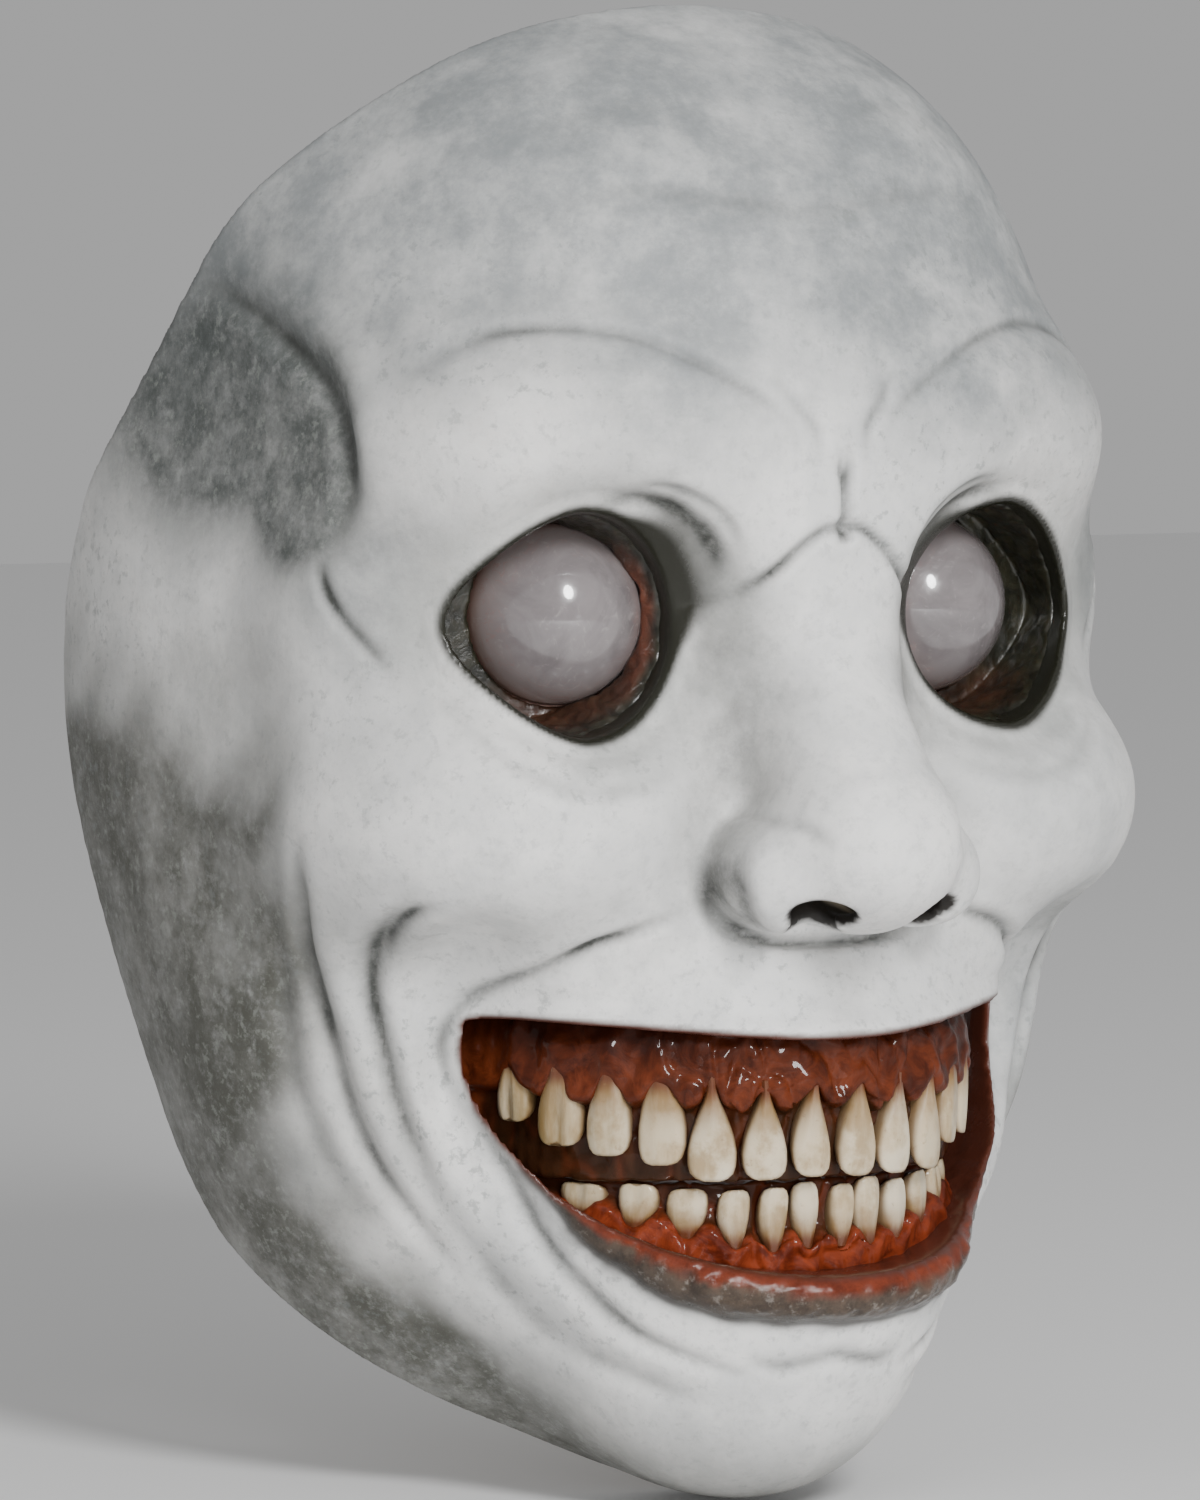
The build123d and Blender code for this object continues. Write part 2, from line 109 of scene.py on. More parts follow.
# Each tooth of one side: degrees from the middle, half width, tip height, root height, lean.
UPPER_TEETH = [
    (5.6, 3.9, -92.4, -74.5, 0), (16.8, 4.0, -92.6, -75.5, 1), (27.9, 4.1, -92.3, -74.5, -1),
    (39.0, 3.9, -89.3, -74.0, 1), (50.2, 3.8, -88.4, -73.5, 0), (62.2, 4.3, -86.7, -73.5, -1),
    (74.2, 3.6, -84.0, -72.5, 0),
]
LOWER_TEETH = [
    (4.6, 2.7, -93.8, -104.5, 1), (13.2, 2.8, -93.6, -105.0, -1), (22.6, 3.1, -94.4, -104.5, 2),
    (33.4, 3.6, -93.6, -102.5, 1), (45.6, 3.9, -93.4, -101.0, -1), (59.0, 4.2, -93.4, -99.0, 0),
]
UPPER_ROOT_RADIUS, LOWER_ROOT_RADIUS = 43.8, 39.6
TOOTH_DEPTH = 2.7

GLUE = 0.4
PAD_THICK = 8.0
# Each pad: turn and half turn, rise and half rise, in degrees about the form's middle.
PADS = [
    ("forehead_pad", 0, 22, 44, 9),
    ("left_cheek_pad", 66, 9, -22, 10),
    ("right_cheek_pad", -66, 9, -22, 10),
]
PATCH_THICK = 2.0
PATCH_TURN, PATCH_RISE = 11.0, 9.0
FORM_CENTRE = np.array([0.0, 0.0, -25.0], np.float32)

STRAP_WIDTH, STRAP_THICK = 20.0, 1.4
STRAP_BACK_Y = 45.0
STRAP_END_Y, STRAP_FREE_Y = -9.0, 12.0  # the snapped end, and where the strap leaves the skin
TAB_DEPTH = 6.5  # from the inside of the skin to the outside of the strap
STRAP_SHOULDER = (68.0, 35.0)
STRAP_CORNER_X = 58.0
LAYER_STEP = 3.6
RING_X, RING_HALF = -49.0, 4.0
LONG_TAIL_X = 40.0
LONG_BEND, SHORT_BEND, FOLD_BEND = 6.0, 5.0, 1.79
RIBBON_STEP, RIBBON_ACROSS = 0.8, 16

FRONT_Y = -45.0  # the openings are in front of this
FAR = 40.0  # stands for a distance that doesn't matter


def ellipsoid(p, centre, half):
    """Distance in mm to an ellipsoid, close to exact near its surface."""
    q = (p - np.array(centre, np.float32)) / np.array(half, np.float32)
    near = np.sqrt((q * q).sum(-1))
    slope = np.sqrt(((q / np.array(half, np.float32)) ** 2).sum(-1)) + 1e-9
    return near * (near - 1.0) / slope


def tapered_rod(p, start, end, radius_start, radius_end):
    a, b = np.array(start, np.float32), np.array(end, np.float32)
    along = np.clip(((p - a) @ (b - a)) / ((b - a) @ (b - a)), 0, 1)
    nearest = a + along[..., None] * (b - a)
    radius = radius_start + (radius_end - radius_start) * along
    return np.linalg.norm(p - nearest, axis=-1) - radius


def join(a, b, width):
    """Soft union of two distances."""
    mix = np.clip(0.5 + 0.5 * (b - a) / width, 0, 1)
    return b * (1 - mix) + a * mix - width * mix * (1 - mix)


def carve(a, b, width):
    """Distance a with the shape of distance b softly taken away."""
    return -join(-a, b, width)


def both_sides(p):
    """The points folded onto the wearer's left half."""
    q = np.array(p, np.float32)
    q[..., 0] = np.abs(q[..., 0])
    return q


def form_distance(points):
    """Distance in mm from points to the outer surface of the head form, negative inside."""
    p = both_sides(points)
    d = ellipsoid(p, *CRANIUM)
    for centre, half, width in MASSES:
        d = join(d, ellipsoid(p, centre, half), width)
    for centre, half, width in (TEMPLE, EYE_HOLLOW, MOUTH_CORNER_HOLLOW):
        d = carve(d, ellipsoid(p, centre, half), width)
    d = join(d, tapered_rod(p, *NOSE_RIDGE[:4]), NOSE_RIDGE[4])
    for centre, half, width in (NOSE_TIP, NOSE_WING):
        d = join(d, ellipsoid(p, centre, half), width)
    return d


def form_gradient(p):
    """Outward direction of the head form at each point."""
    parts = []
    for shift in 0.5 * np.eye(3, dtype=np.float32):
        parts.append(form_distance(p + shift) - form_distance(p - shift))
    gradient = np.stack(parts, -1)
    return gradient / (np.linalg.norm(gradient, axis=-1, keepdims=True) + 1e-9)


def ripple(points, size, seed):
    """Smooth lumps between about -1 and 1, of the given size in mm."""
    rng = np.random.default_rng(seed)
    total = np.zeros(len(points), np.float32)
    waves = 14
    for _ in range(waves):
        direction = rng.normal(size=3)
        direction *= rng.uniform(0.6, 1.5) * 2 * math.pi / (size * np.linalg.norm(direction))
        total += np.sin(points @ direction.astype(np.float32) + rng.uniform(0, 6.28))
    return total / math.sqrt(waves)


def outline_distance(u, v, outline):
    """Signed distance to a closed outline of points, negative inside it."""
    nearest = np.full(u.shape, 1e9, np.float32)
    inside = np.zeros(u.shape, bool)
    for (au, av), (bu, bv) in zip(outline, outline[1:] + outline[:1]):
        run_u, run_v = bu - au, bv - av
        along = ((u - au) * run_u + (v - av) * run_v) / (run_u**2 + run_v**2)
        along = np.clip(along, 0, 1)
        nearest = np.minimum(nearest, (u - au - run_u * along) ** 2 + (v - av - run_v * along) ** 2)
        crosses = (av > v) != (bv > v)
        if run_v:
            inside ^= crosses & (u < au + (v - av) * run_u / run_v)
    return np.where(inside, -1, 1) * np.sqrt(nearest)


def ramp(low, high, value):
    """Smooth rise from 0 at low to 1 at high."""
    t = np.clip((value - low) / (high - low), 0, 1)
    return t * t * (3 - 2 * t)


# ---- meshes ------------------------------------------------------------------------------


def add_object(name, vertices_mm, faces):
    """New smooth-shaded object from points in mm."""
    mesh = bpy.data.meshes.new(name)
    mesh.from_pydata((np.asarray(vertices_mm) * MM).tolist(), [], faces)
    mesh.update()
    mesh.polygons.foreach_set("use_smooth", [True] * len(mesh.polygons))
    piece = bpy.data.objects.new(name, mesh)
    bpy.context.scene.collection.objects.link(piece)
    return piece


def tube_faces(rings, around, first=0):
    """Faces of a closed tube whose rings of points follow each other, with both ends capped."""
    faces = []
    for ring in range(first, first + (rings - 1) * around, around):
        for i in range(around):
            j = (i + 1) % around
            faces.append((ring + i, ring + j, ring + around + j, ring + around + i))
    last = first + (rings - 1) * around
    return faces + [tuple(range(first, first + around))[::-1], tuple(range(last, last + around))]


def surface_object(name, distance, low, high, voxel):
    """Object whose surface is where distance, a function of points in mm, is zero.

    The distance is worked out on blocks of voxels first and then only where the surface is near.
    """
    low = np.array(low, np.float32)
    block = 4
    blocks = np.ceil((np.array(high) - low) / (block * voxel)).astype(int)
    index = np.stack(np.meshgrid(*[np.arange(n) for n in blocks], indexing="ij"), -1)
    centres = low + (index * block + (block - 1) / 2) * voxel
    rough = distance(centres.astype(np.float32))
    limit = 3 * voxel
    values = np.where(rough < 0, -limit, limit).astype(np.float32)
    for axis in range(3):
        values = np.repeat(values, block, axis)
    near = index[np.abs(rough) < 6 * voxel]
    steps = np.stack(np.meshgrid(*[np.arange(block)] * 3, indexing="ij"), -1).reshape(-1, 3)
    fine = (near[:, None, :] * block + steps).reshape(-1, 3)
    exact = distance((low + fine * voxel).astype(np.float32))
    values[tuple(fine.T)] = np.clip(exact, -limit, limit)
    grid = openvdb.FloatGrid(float(limit))
    grid.copyFromArray(values)
    points, triangles, quads = grid.convertToPolygons(isovalue=0.0, adaptivity=0.0)
    return add_object(name, low + points * voxel, triangles.tolist() + quads[:, ::-1].tolist())


def points_of(piece):
    """Vertices of a piece in mm."""
    co = np.empty(len(piece.data.vertices) * 3, np.float32)
    piece.data.vertices.foreach_get("co", co)
    return co.reshape(-1, 3) / MM


def normals_of(piece):
    """Outward direction at each vertex."""
    out = np.empty(len(piece.data.vertices) * 3, np.float32)
    piece.data.vertices.foreach_get("normal", out)
    return out.reshape(-1, 3)


def move_points(piece, points_mm):
    piece.data.vertices.foreach_set("co", (points_mm * MM).astype(np.float32).ravel())
    piece.data.update()


def store(piece, name, values):
    """Keep one number per vertex for a material to read."""
    layer = piece.data.attributes.new(name, "FLOAT", "POINT")
    layer.data.foreach_set("value", np.asarray(values, np.float32))


# ---- materials ---------------------------------------------------------------------------


class Paint:
    """A Principled material, with short calls for the nodes that drive it."""

    def __init__(self, name, **settings):
        self.material = bpy.data.materials.new(name)
        self.material.use_nodes = True
        self.nodes = self.material.node_tree.nodes
        self.links = self.material.node_tree.links
        self.shader = self.nodes["Principled BSDF"]
        for key, value in settings.items():
            self.put(key.replace("_", " "), value)
        self.place = self.nodes.new("ShaderNodeTexCoord").outputs["Object"]

    def feed(self, socket, value):
        """Link a node's output to a socket, or set the socket to a number or a colour."""
        if isinstance(value, bpy.types.NodeSocket):
            self.links.new(value, socket)
        elif isinstance(value, tuple) and socket.type == "RGBA":
            socket.default_value = (*value, 1)
        else:
            socket.default_value = value

    def put(self, key, value):
        """Set or drive an input of the shader; Base_Color is the input Base Color."""
        self.feed(self.shader.inputs[key], value)

    def attribute(self, name):
        """A number kept on the vertices by store."""
        node = self.nodes.new("ShaderNodeAttribute")
        node.attribute_name = name
        return node.outputs["Fac"]

    def noise(self, scale, detail=4.0, rough=0.55, stretch=(1, 1, 1), warp=0.0):
        """Noise from 0 to 1; scale counts features per metre, stretch squeezes it along an axis."""
        mapping = self.nodes.new("ShaderNodeMapping")
        self.links.new(self.place, mapping.inputs["Vector"])
        mapping.inputs["Scale"].default_value = stretch
        node = self.nodes.new("ShaderNodeTexNoise")
        self.links.new(mapping.outputs["Vector"], node.inputs["Vector"])
        node.inputs["Scale"].default_value = scale
        node.inputs["Detail"].default_value = detail
        node.inputs["Roughness"].default_value = rough
        node.inputs["Distortion"].default_value = warp
        return node.outputs["Fac"]

    def cells(self, scale):
        """Distance to the middle of rounded cells; scale counts them per metre."""
        node = self.nodes.new("ShaderNodeTexVoronoi")
        self.links.new(self.place, node.inputs["Vector"])
        node.inputs["Scale"].default_value = scale
        return node.outputs["Distance"]

    def spread(self, value, low, high, to_low=0.0, to_high=1.0):
        """Remap low..high to to_low..to_high, clamped and smooth."""
        node = self.nodes.new("ShaderNodeMapRange")
        node.interpolation_type = "SMOOTHSTEP"
        self.feed(node.inputs["Value"], value)
        for key, number in (("From Min", low), ("From Max", high), ("To Min", to_low), ("To Max", to_high)):
            node.inputs[key].default_value = number
        return node.outputs["Result"]

    def maths(self, operation, a, b=0.0):
        node = self.nodes.new("ShaderNodeMath")
        node.operation = operation
        self.feed(node.inputs[0], a)
        self.feed(node.inputs[1], b)
        return node.outputs["Value"]

    def times(self, *values):
        result = values[0]
        for value in values[1:]:
            result = self.maths("MULTIPLY", result, value)
        return result

    def mix(self, amount, a, b):
        """Colour a where amount is 0, colour b where it is 1."""
        node = self.nodes.new("ShaderNodeMix")
        node.data_type = "RGBA"
        self.feed(node.inputs["Factor"], amount)
        self.feed(node.inputs[6], a)
        self.feed(node.inputs[7], b)
        return node.outputs[2]

    def masked(self, mask, texture, low, high, least=0.0, most=1.0):
        """A mask from the vertices, broken up by a texture that keeps between least and most of it."""
        return self.times(self.attribute(mask), self.spread(texture, low, high, least, most))

    def base(self, colour):
        """Set the base colour."""
        self.colour = colour
        self.put("Base Color", colour)

    def over(self, amount, tone, strength=1.0):
        """Lay another colour on the base colour."""
        if strength < 1.0:
            amount = self.times(amount, strength)
        self.base(self.mix(amount, self.colour, tone))

    def gaze(self, centre, yaw):
        """Cosine of the angle off an eye's gaze: 1 in front of the ball, 0 at its side."""
        parts = self.nodes.new("ShaderNodeSeparateXYZ")
        self.links.new(self.place, parts.inputs[0])
        x = self.maths("SUBTRACT", self.maths("ABSOLUTE", parts.outputs[0]), centre[0] * MM)
        y = self.maths("SUBTRACT", parts.outputs[1], centre[1] * MM)
        z = self.maths("SUBTRACT", parts.outputs[2], centre[2] * MM)
        ahead = self.maths("SUBTRACT", self.maths("MULTIPLY", x, math.sin(yaw)),
                           self.maths("MULTIPLY", y, math.cos(yaw)))
        square = self.maths("ADD", self.maths("MULTIPLY", x, x), self.maths("MULTIPLY", y, y))
        reach = self.maths("SQRT", self.maths("ADD", square, self.maths("MULTIPLY", z, z)))
        return self.maths("DIVIDE", ahead, reach)

    def bump(self, height, distance_mm, strength):
        """Add relief; several calls stack."""
        node = self.nodes.new("ShaderNodeBump")
        node.inputs["Strength"].default_value = strength
        node.inputs["Distance"].default_value = distance_mm * MM
        self.feed(node.inputs["Height"], height)
        before = self.shader.inputs["Normal"].links
        if before:
            self.links.new(before[0].from_socket, node.inputs["Normal"])
        self.links.new(node.outputs["Normal"], self.shader.inputs["Normal"])


def coat(piece, paint):
    """Give a piece its only material."""
    piece.data.materials.clear()
    piece.data.materials.append(paint.material)


def dress(piece, paint, body, slot, *nodes):
    """Give a piece its material and its body, and hide the CAD nodes that it stands for. The slot is not
    used.
    """
    coat(piece, paint)
    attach(piece, body)
    if nodes:
        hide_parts(*nodes)


# ---- skin --------------------------------------------------------------------------------


def bend(points):
    """Points along a smooth curve through the given ones."""
    spans = 6
    given = [np.array(p, float) for p in points]
    given = [2 * given[0] - given[1], *given, 2 * given[-1] - given[-2]]
    curve = []
    for a, b, c, d in zip(given, given[1:], given[2:], given[3:]):
        for step in range(spans):
            t = step / spans
            curve.append(0.5 * (2 * b + (c - a) * t + (2 * a - 5 * b + 4 * c - d) * t**2
                                + (3 * b - a - 3 * c + d) * t**3))
    return np.array([*curve, given[-2]])


def mouth_outline():
    """Edge of the mouth in X and Z, round from the wearer's left corner."""
    lower = []
    for angle in np.linspace(0, math.pi, 25):
        across = math.copysign(abs(math.cos(angle)) ** (2 / MOUTH_ROUNDNESS), math.cos(angle))
        down = math.sin(angle) ** (2 / MOUTH_ROUNDNESS)
        lower.append((MOUTH_HALF_WIDTH * across, MOUTH_CORNER + (MOUTH_BOTTOM - MOUTH_CORNER) * down))
    side, height = MOUTH_SHOULDER
    upper = bend([lower[-1], (-side, height), (0, MOUTH_TOP), (side, height), lower[0]])
    return lower + [tuple(point) for point in upper[1:-1]]


def eye_outline():
    """Edge of the wearer's-left eye opening: an oval with a point at its outer corner."""
    centre_x, centre_z, half_x, half_z = EYE_OPENING
    points = []
    for angle in np.linspace(0, 2 * math.pi, 49)[:-1]:
        outer = max(0.0, math.cos(angle))
        x = centre_x + half_x * math.cos(angle)
        z = centre_z + half_z * math.sin(angle) * (1 - 0.34 * outer**1.4)
        points.append((x, z))
    return points


MOUTH = mouth_outline()
EYE = eye_outline()


def eye_axes(p):
    """Distances from the left eyeball's middle: in front of it along its gaze, and across that."""
    x, y = p[..., 0] - EYE_CENTRE[0], p[..., 1] - EYE_CENTRE[1]
    return (x * math.sin(EYE_YAW) - y * math.cos(EYE_YAW), x * math.cos(EYE_YAW) + y * math.sin(EYE_YAW))


def lower_lip(x, z):
    """How far a point belongs to the thick middle of the lower lip, from 0 to 1."""
    return ramp(-84, -104, z) * ramp(50, 24, x)


def skin_distance(points):
    """The whole latex skin: shell, rim, eye and mouth rolls with their return walls, nostrils."""
    p = both_sides(points)
    x, y, z = p[..., 0], p[..., 1], p[..., 2]
    form = form_distance(points)
    shell = np.maximum(form, -(form + SKIN))
    front = y - FRONT_Y
    eye = np.where((y < FRONT_Y) & (np.abs(z) < 40), outline_distance(x, z, EYE), FAR)
    mouth = np.where((y < FRONT_Y + 5) & (z < -45) & (z > -130), outline_distance(x, z, MOUTH), FAR)

    eye_wall = np.maximum(np.maximum(np.abs(eye - 1.2) - 1.1, form + 0.3), 2.0 - eye_axes(p)[0])
    eye_roll = np.sqrt(eye**2 + (form + 1.2) ** 2) - 1.7
    shell = join(shell, eye_wall, 1.5)
    shell = join(shell, eye_roll, 2.5)
    shell = carve(shell, np.maximum(eye, front), 0.6)

    low = lower_lip(x, z)
    lip_radius = 1.5 + 2.9 * low
    lip_centre = 0.6 + 3.2 * low
    mouth_wall = np.maximum(np.maximum(np.abs(mouth - 1.3) - 1.2, form + 0.4), -(form + 13))
    lip_roll = np.sqrt((mouth - lip_centre) ** 2 + (form + 1.4 - 0.6 * low) ** 2) - lip_radius
    shell = join(shell, np.where(front < 0, mouth_wall, FAR), 1.5)
    shell = join(shell, np.where(front < 0, lip_roll, FAR), 2.5)
    shell = carve(shell, np.maximum(mouth, front), 0.6)

    nostril_x, nostril_y, half_x, half_y = NOSTRIL
    turn = math.radians(-25)
    across = (x - nostril_x) * math.cos(turn) + (y - nostril_y) * math.sin(turn)
    along = (y - nostril_y) * math.cos(turn) - (x - nostril_x) * math.sin(turn)
    ring = (np.sqrt((across / half_x) ** 2 + (along / half_y) ** 2) - 1) * half_y
    shell = carve(shell, np.maximum(ring, np.abs(z + 52) - 14), 1.2)
    shell = carve(shell, np.maximum(ellipsoid(p, *NOSTRIL_MOUTH), y + 85), 1.0)

    rim = np.where(y > -75, outline_distance(y, z, RIM_PROFILE), -FAR)
    return carve(shell, -rim, 0.8)


# Folds of the skin on the wearer's right, mirrored to the left. Each row: points seen from the
# front (X, Z) or, for side folds, from the side (Y, Z); half width, depth (negative stands
# proud) and how dark the fold is painted, partly dark paint and partly painted shade
# of the groove.
FRONT_FOLDS = [
    ([(-69, 37), (-64, 44), (-56, 48.5), (-45, 50), (-34, 48), (-25, 44), (-16, 39), (-10, 34), (-8, 27)],
     1.4, 0.8, 0.5),
    ([(-62, 36), (-50, 42), (-36, 41), (-24, 36)], 5.0, -0.9, 0.0),
    ([(0, 31), (-0.5, 27), (0.4, 22), (0, 15)], 1.2, 1.6, 1.0),
    ([(-34, 1), (-26, 2.5), (-19, 4), (-15.5, 6.5), (-12, 9.5), (-8, 13), (-3.5, 16), (0, 16.5)],
     1.3, 1.4, 0.9),
    ([(-42, 20), (-35, 21.5), (-28, 20), (-22, 15.5), (-18.5, 9), (-19, 3)], 2.3, 1.1, 0.95),
    ([(-36, 24), (-28, 23), (-20, 18), (-16, 11)], 1.1, 0.7, 0.5),
    ([(-66, -7), (-58, -20), (-46, -26), (-30, -24), (-22, -16)], 2.2, 0.6, 0.15),
    ([(-15, -29), (-19, -32), (-22, -35), (-23.5, -39.5), (-23, -44), (-21, -48), (-17, -51),
      (-10, -52.5), (0, -53)], 1.3, 2.3, 1.0),
    ([(-19, -33), (-16.5, -31.5), (-14, -33.5), (-12.5, -38)], 1.6, 0.7, 0.35),
    ([(-22, -44), (-27, -48), (-33, -50.5), (-40, -53), (-46, -57), (-50.5, -61), (-54, -66), (-55, -72),
      (-53, -80), (-50, -88)], 1.5, 1.7, 0.85),
    ([(-30, -56), (-40, -59), (-46, -62)], 3.0, -0.8, 0.0),
    ([(-70, -40), (-69, -50), (-67, -58), (-64, -68), (-61, -80), (-57, -92), (-51, -104)], 1.9, 2.4, 1.0),
    ([(-67, -44), (-67.5, -50), (-65.5, -57)], 2.2, 1.4, 0.9),
    ([(-61, -58), (-60, -70), (-57, -84), (-52, -96), (-44, -107), (-35, -116)], 3.2, -1.8, 0.0),
    ([(-53, -74), (-50, -86), (-45, -98), (-38, -109), (-30, -118.5), (-19, -124), (-10, -126)],
     1.4, 1.5, 0.8),
    ([(-52, -100), (-45, -111), (-36, -121), (-25, -128), (-16, -131)], 2.0, 0.9, 0.4),
    ([(-17, -121), (-10, -124), (0, -122.5)], 1.8, 1.0, 0.5),
    ([(-52, 64), (-34, 72), (-16, 71), (0, 69)], 3.0, 0.35, 0.2),
    ([(-44, 80), (-28, 86), (-10, 86)], 3.0, 0.3, 0.1),
    ([(-12, 44), (-9, 38), (-5, 33), (-4, 26)], 1.6, 0.8, 0.35),
]
SIDE_FOLDS = [
    ([(2, 58), (-16, 55), (-32, 49), (-46, 41), (-54, 33), (-57, 24), (-56, 15), (-54, 8)], 2.8, 1.6, 0.8),
    ([(-30, 57), (-48, 48), (-60, 34), (-63, 20)], 4.0, -1.2, 0.0),
    ([(-53, 13), (-54, 8), (-57, 2), (-61, -4), (-64, -9)], 1.3, 1.1, 0.9),
    ([(-52, -32), (-48, -42), (-43, -55), (-44, -72), (-46, -89), (-50, -104), (-54, -118)], 2.2, 2.0, 0.8),
    ([(-49, -44), (-49, -64), (-51, -82), (-55, -98)], 4.5, -1.4, 0.0),
    ([(-38, -50), (-36, -68), (-38, -88), (-44, -106)], 3.0, 0.8, 0.35),
]


def fold_profile(u, v, points, width):
    """How strongly a fold acts at each point: its broad press, and the thin line along its bottom."""
    line = bend(points)
    press = np.zeros(u.shape, np.float32)
    core = np.zeros(u.shape, np.float32)
    reach = 6 * width
    low, high = line.min(0) - reach, line.max(0) + reach
    near = (u > low[0]) & (u < high[0]) & (v > low[1]) & (v < high[1])
    nu, nv = u[near], v[near]
    best = np.full(nu.shape, 1e9)
    where = np.zeros(nu.shape)
    steps = len(line) - 1
    for i in range(steps):
        run = line[i + 1] - line[i]
        along = np.clip(((nu - line[i][0]) * run[0] + (nv - line[i][1]) * run[1]) / (run @ run), 0, 1)
        gap = (nu - line[i][0] - along * run[0]) ** 2 + (nv - line[i][1] - along * run[1]) ** 2
        closer = gap < best
        best[closer] = gap[closer]
        where[closer] = (i + along[closer]) / steps
    if points[-1][0] == 0:  # a fold that crosses the middle of the face doesn't fade there
        where = where * 0.5
    ends = ramp(0, 0.3, where) * ramp(1, 0.62, where)
    press[near] = (np.exp(-best / width**2) - 0.4 * np.exp(-best / (2.4 * width) ** 2)) * ends
    core[near] = np.exp(-best / max(0.75, 0.5 * width) ** 2) * ends * (0.5 + 0.5 * ends)
    return press, core


# Soft spots of paint and of painted shade. Each row: strength, centre, radii.
TEMPLE_SPOT = [(1.3, (80, -18, 36), (26, 38, 23))]
TEMPLE_FRONT_SPOT = [(1.3, (73, -46, 24), (12, 13, 19))]
# Blue-grey paint; the spots at the outer corner of the eye and on the brow are painted shade.
BLUE_GREY_AND_SHADE_SPOTS = [
    (0.5, (48, -44, 84), (40, 40, 30)), (0.45, (28, -91, 36), (20, 14, 13)),
    (1.1, (70, -60, 8), (10, 14, 14)), (0.4, (80, -6, 62), (24, 50, 22)),
]
# Spots on one half only: blue-grey paint on the crown, and painted shade on the far cheek and jaw.
BLUE_GREY_AND_SHADE_SPOTS_ON_ONE_SIDE = [
    (0.5, (30, -80, 62), (44, 34, 24)), (0.5, (52, -84, -24), (18, 18, 30)),
    (0.9, (66, -54, -66), (18, 22, 28)), (0.3, (-20, -80, 60), (30, 34, 16)),
]
WARM_SPOTS = [
    (1.0, (44, -75, 36), (24, 20, 14)), (1.0, (52, -66, 8), (22, 20, 20)),
]
# Painted shade beside and under the nose, at the outer corners of the eyes and in the cheeks.
PAINTED_SHADE_SPOTS = [
    (0.6, (0, -97, -60), (5, 12, 7)), (0.6, (22, -92, -30), (7, 10, 9)),
    (1.2, (17, -86, -12), (8, 16, 20)), (1.0, (66, -56, -49), (7, 12, 9)),
    (0.65, (69, -61, 8), (11, 12, 15)), (0.45, (74, -14, -14), (14, 26, 20)),
    (0.5, (25, -92, -45), (5, 8, 9)), (0.35, (40, -80, -50), (20, 14, 9)),
]


def spots(p, rows, flatness=2):
    """Sum of soft spots, each as strong as its row says at its centre and flatter as flatness grows."""
    total = np.zeros(len(p), np.float32)
    for strength, centre, radii in rows:
        q = (p - np.array(centre, np.float32)) / np.array(radii, np.float32)
        total += strength * np.exp(-((q * q).sum(-1) ** (flatness / 2)))
    return total


def folds_at(p):
    """How far the folds lift the skin at each point, and the dark in them: a broad band and a thin line
    along each bottom, partly paint and partly painted shade of the groove.
    """
    sway = np.where(p[:, 0] > 0, 0.8 * np.sin(p[:, 2] / 11.0), 0.0)
    views = ((FRONT_FOLDS, -np.abs(p[:, 0]) + sway, p[:, 1] < -30),
             (SIDE_FOLDS, p[:, 1] + sway, np.abs(p[:, 0]) > 35))
    lift, fold_dark_and_shade, line = np.zeros((3, len(p)), np.float32)
    for rows, across, allowed in views:
        for points, width, depth, dark in rows:
            press, core = fold_profile(across, p[:, 2], points, width)
            lift -= 1.3 * depth * press * allowed
            fold_dark_and_shade = np.maximum(fold_dark_and_shade, dark * np.clip(press, 0, 1) * allowed)
            line = np.maximum(line, dark * core * allowed)
    return lift, fold_dark_and_shade, line


def mark_eye_edges(skin, q, eye, depth_in):
    """Masks for the dark rim and wall of each eye opening, and the shading round it; the wall is partly
    paint and partly painted shade of the hole.
    """
    inner = ramp(35, 24, q[:, 0]) * ramp(-6, 6, q[:, 2])
    band = 2.2 + 5.0 * inner
    # The wall inside the opening is painted near black: partly paint, partly painted shade of the hole.
    wall = ramp(3.2, 2.6, eye) * ramp(0.3, 0.9, depth_in)
    store(skin, "eye_edge", np.maximum(wall, ramp(band, 0.4 * band, eye)))
    shade = ramp(14, 0.0, eye) + 0.5 * inner * ramp(12, 4, eye)
    store(skin, "eye_shade", np.clip(shade, 0, 1))


def mark_lips(skin, p, q, mouth):
    """Masks for the lips, their red inner half, their outer line and the edge of the mouth."""
    band = 1.5 + 7.6 * lower_lip(q[:, 0], q[:, 2]) + 0.35 * ripple(p, 9.0, 17)
    below_nose = ramp(-62, -72, q[:, 2])
    uneven = mouth + 0.5 * ripple(p, 4.0, 18)
    outer_line = np.exp(-((mouth - band + 0.9) ** 2))
    store(skin, "lip", ramp(band, band - 1.6, mouth) * below_nose)
    store(skin, "lip_red", ramp(0.5 * band, 0.2 * band, uneven) * below_nose)
    store(skin, "lip_edge", 0.85 * outer_line * ramp(-74, -92, q[:, 2]))
    store(skin, "mouth_edge", ramp(1.5, 0.2, mouth))


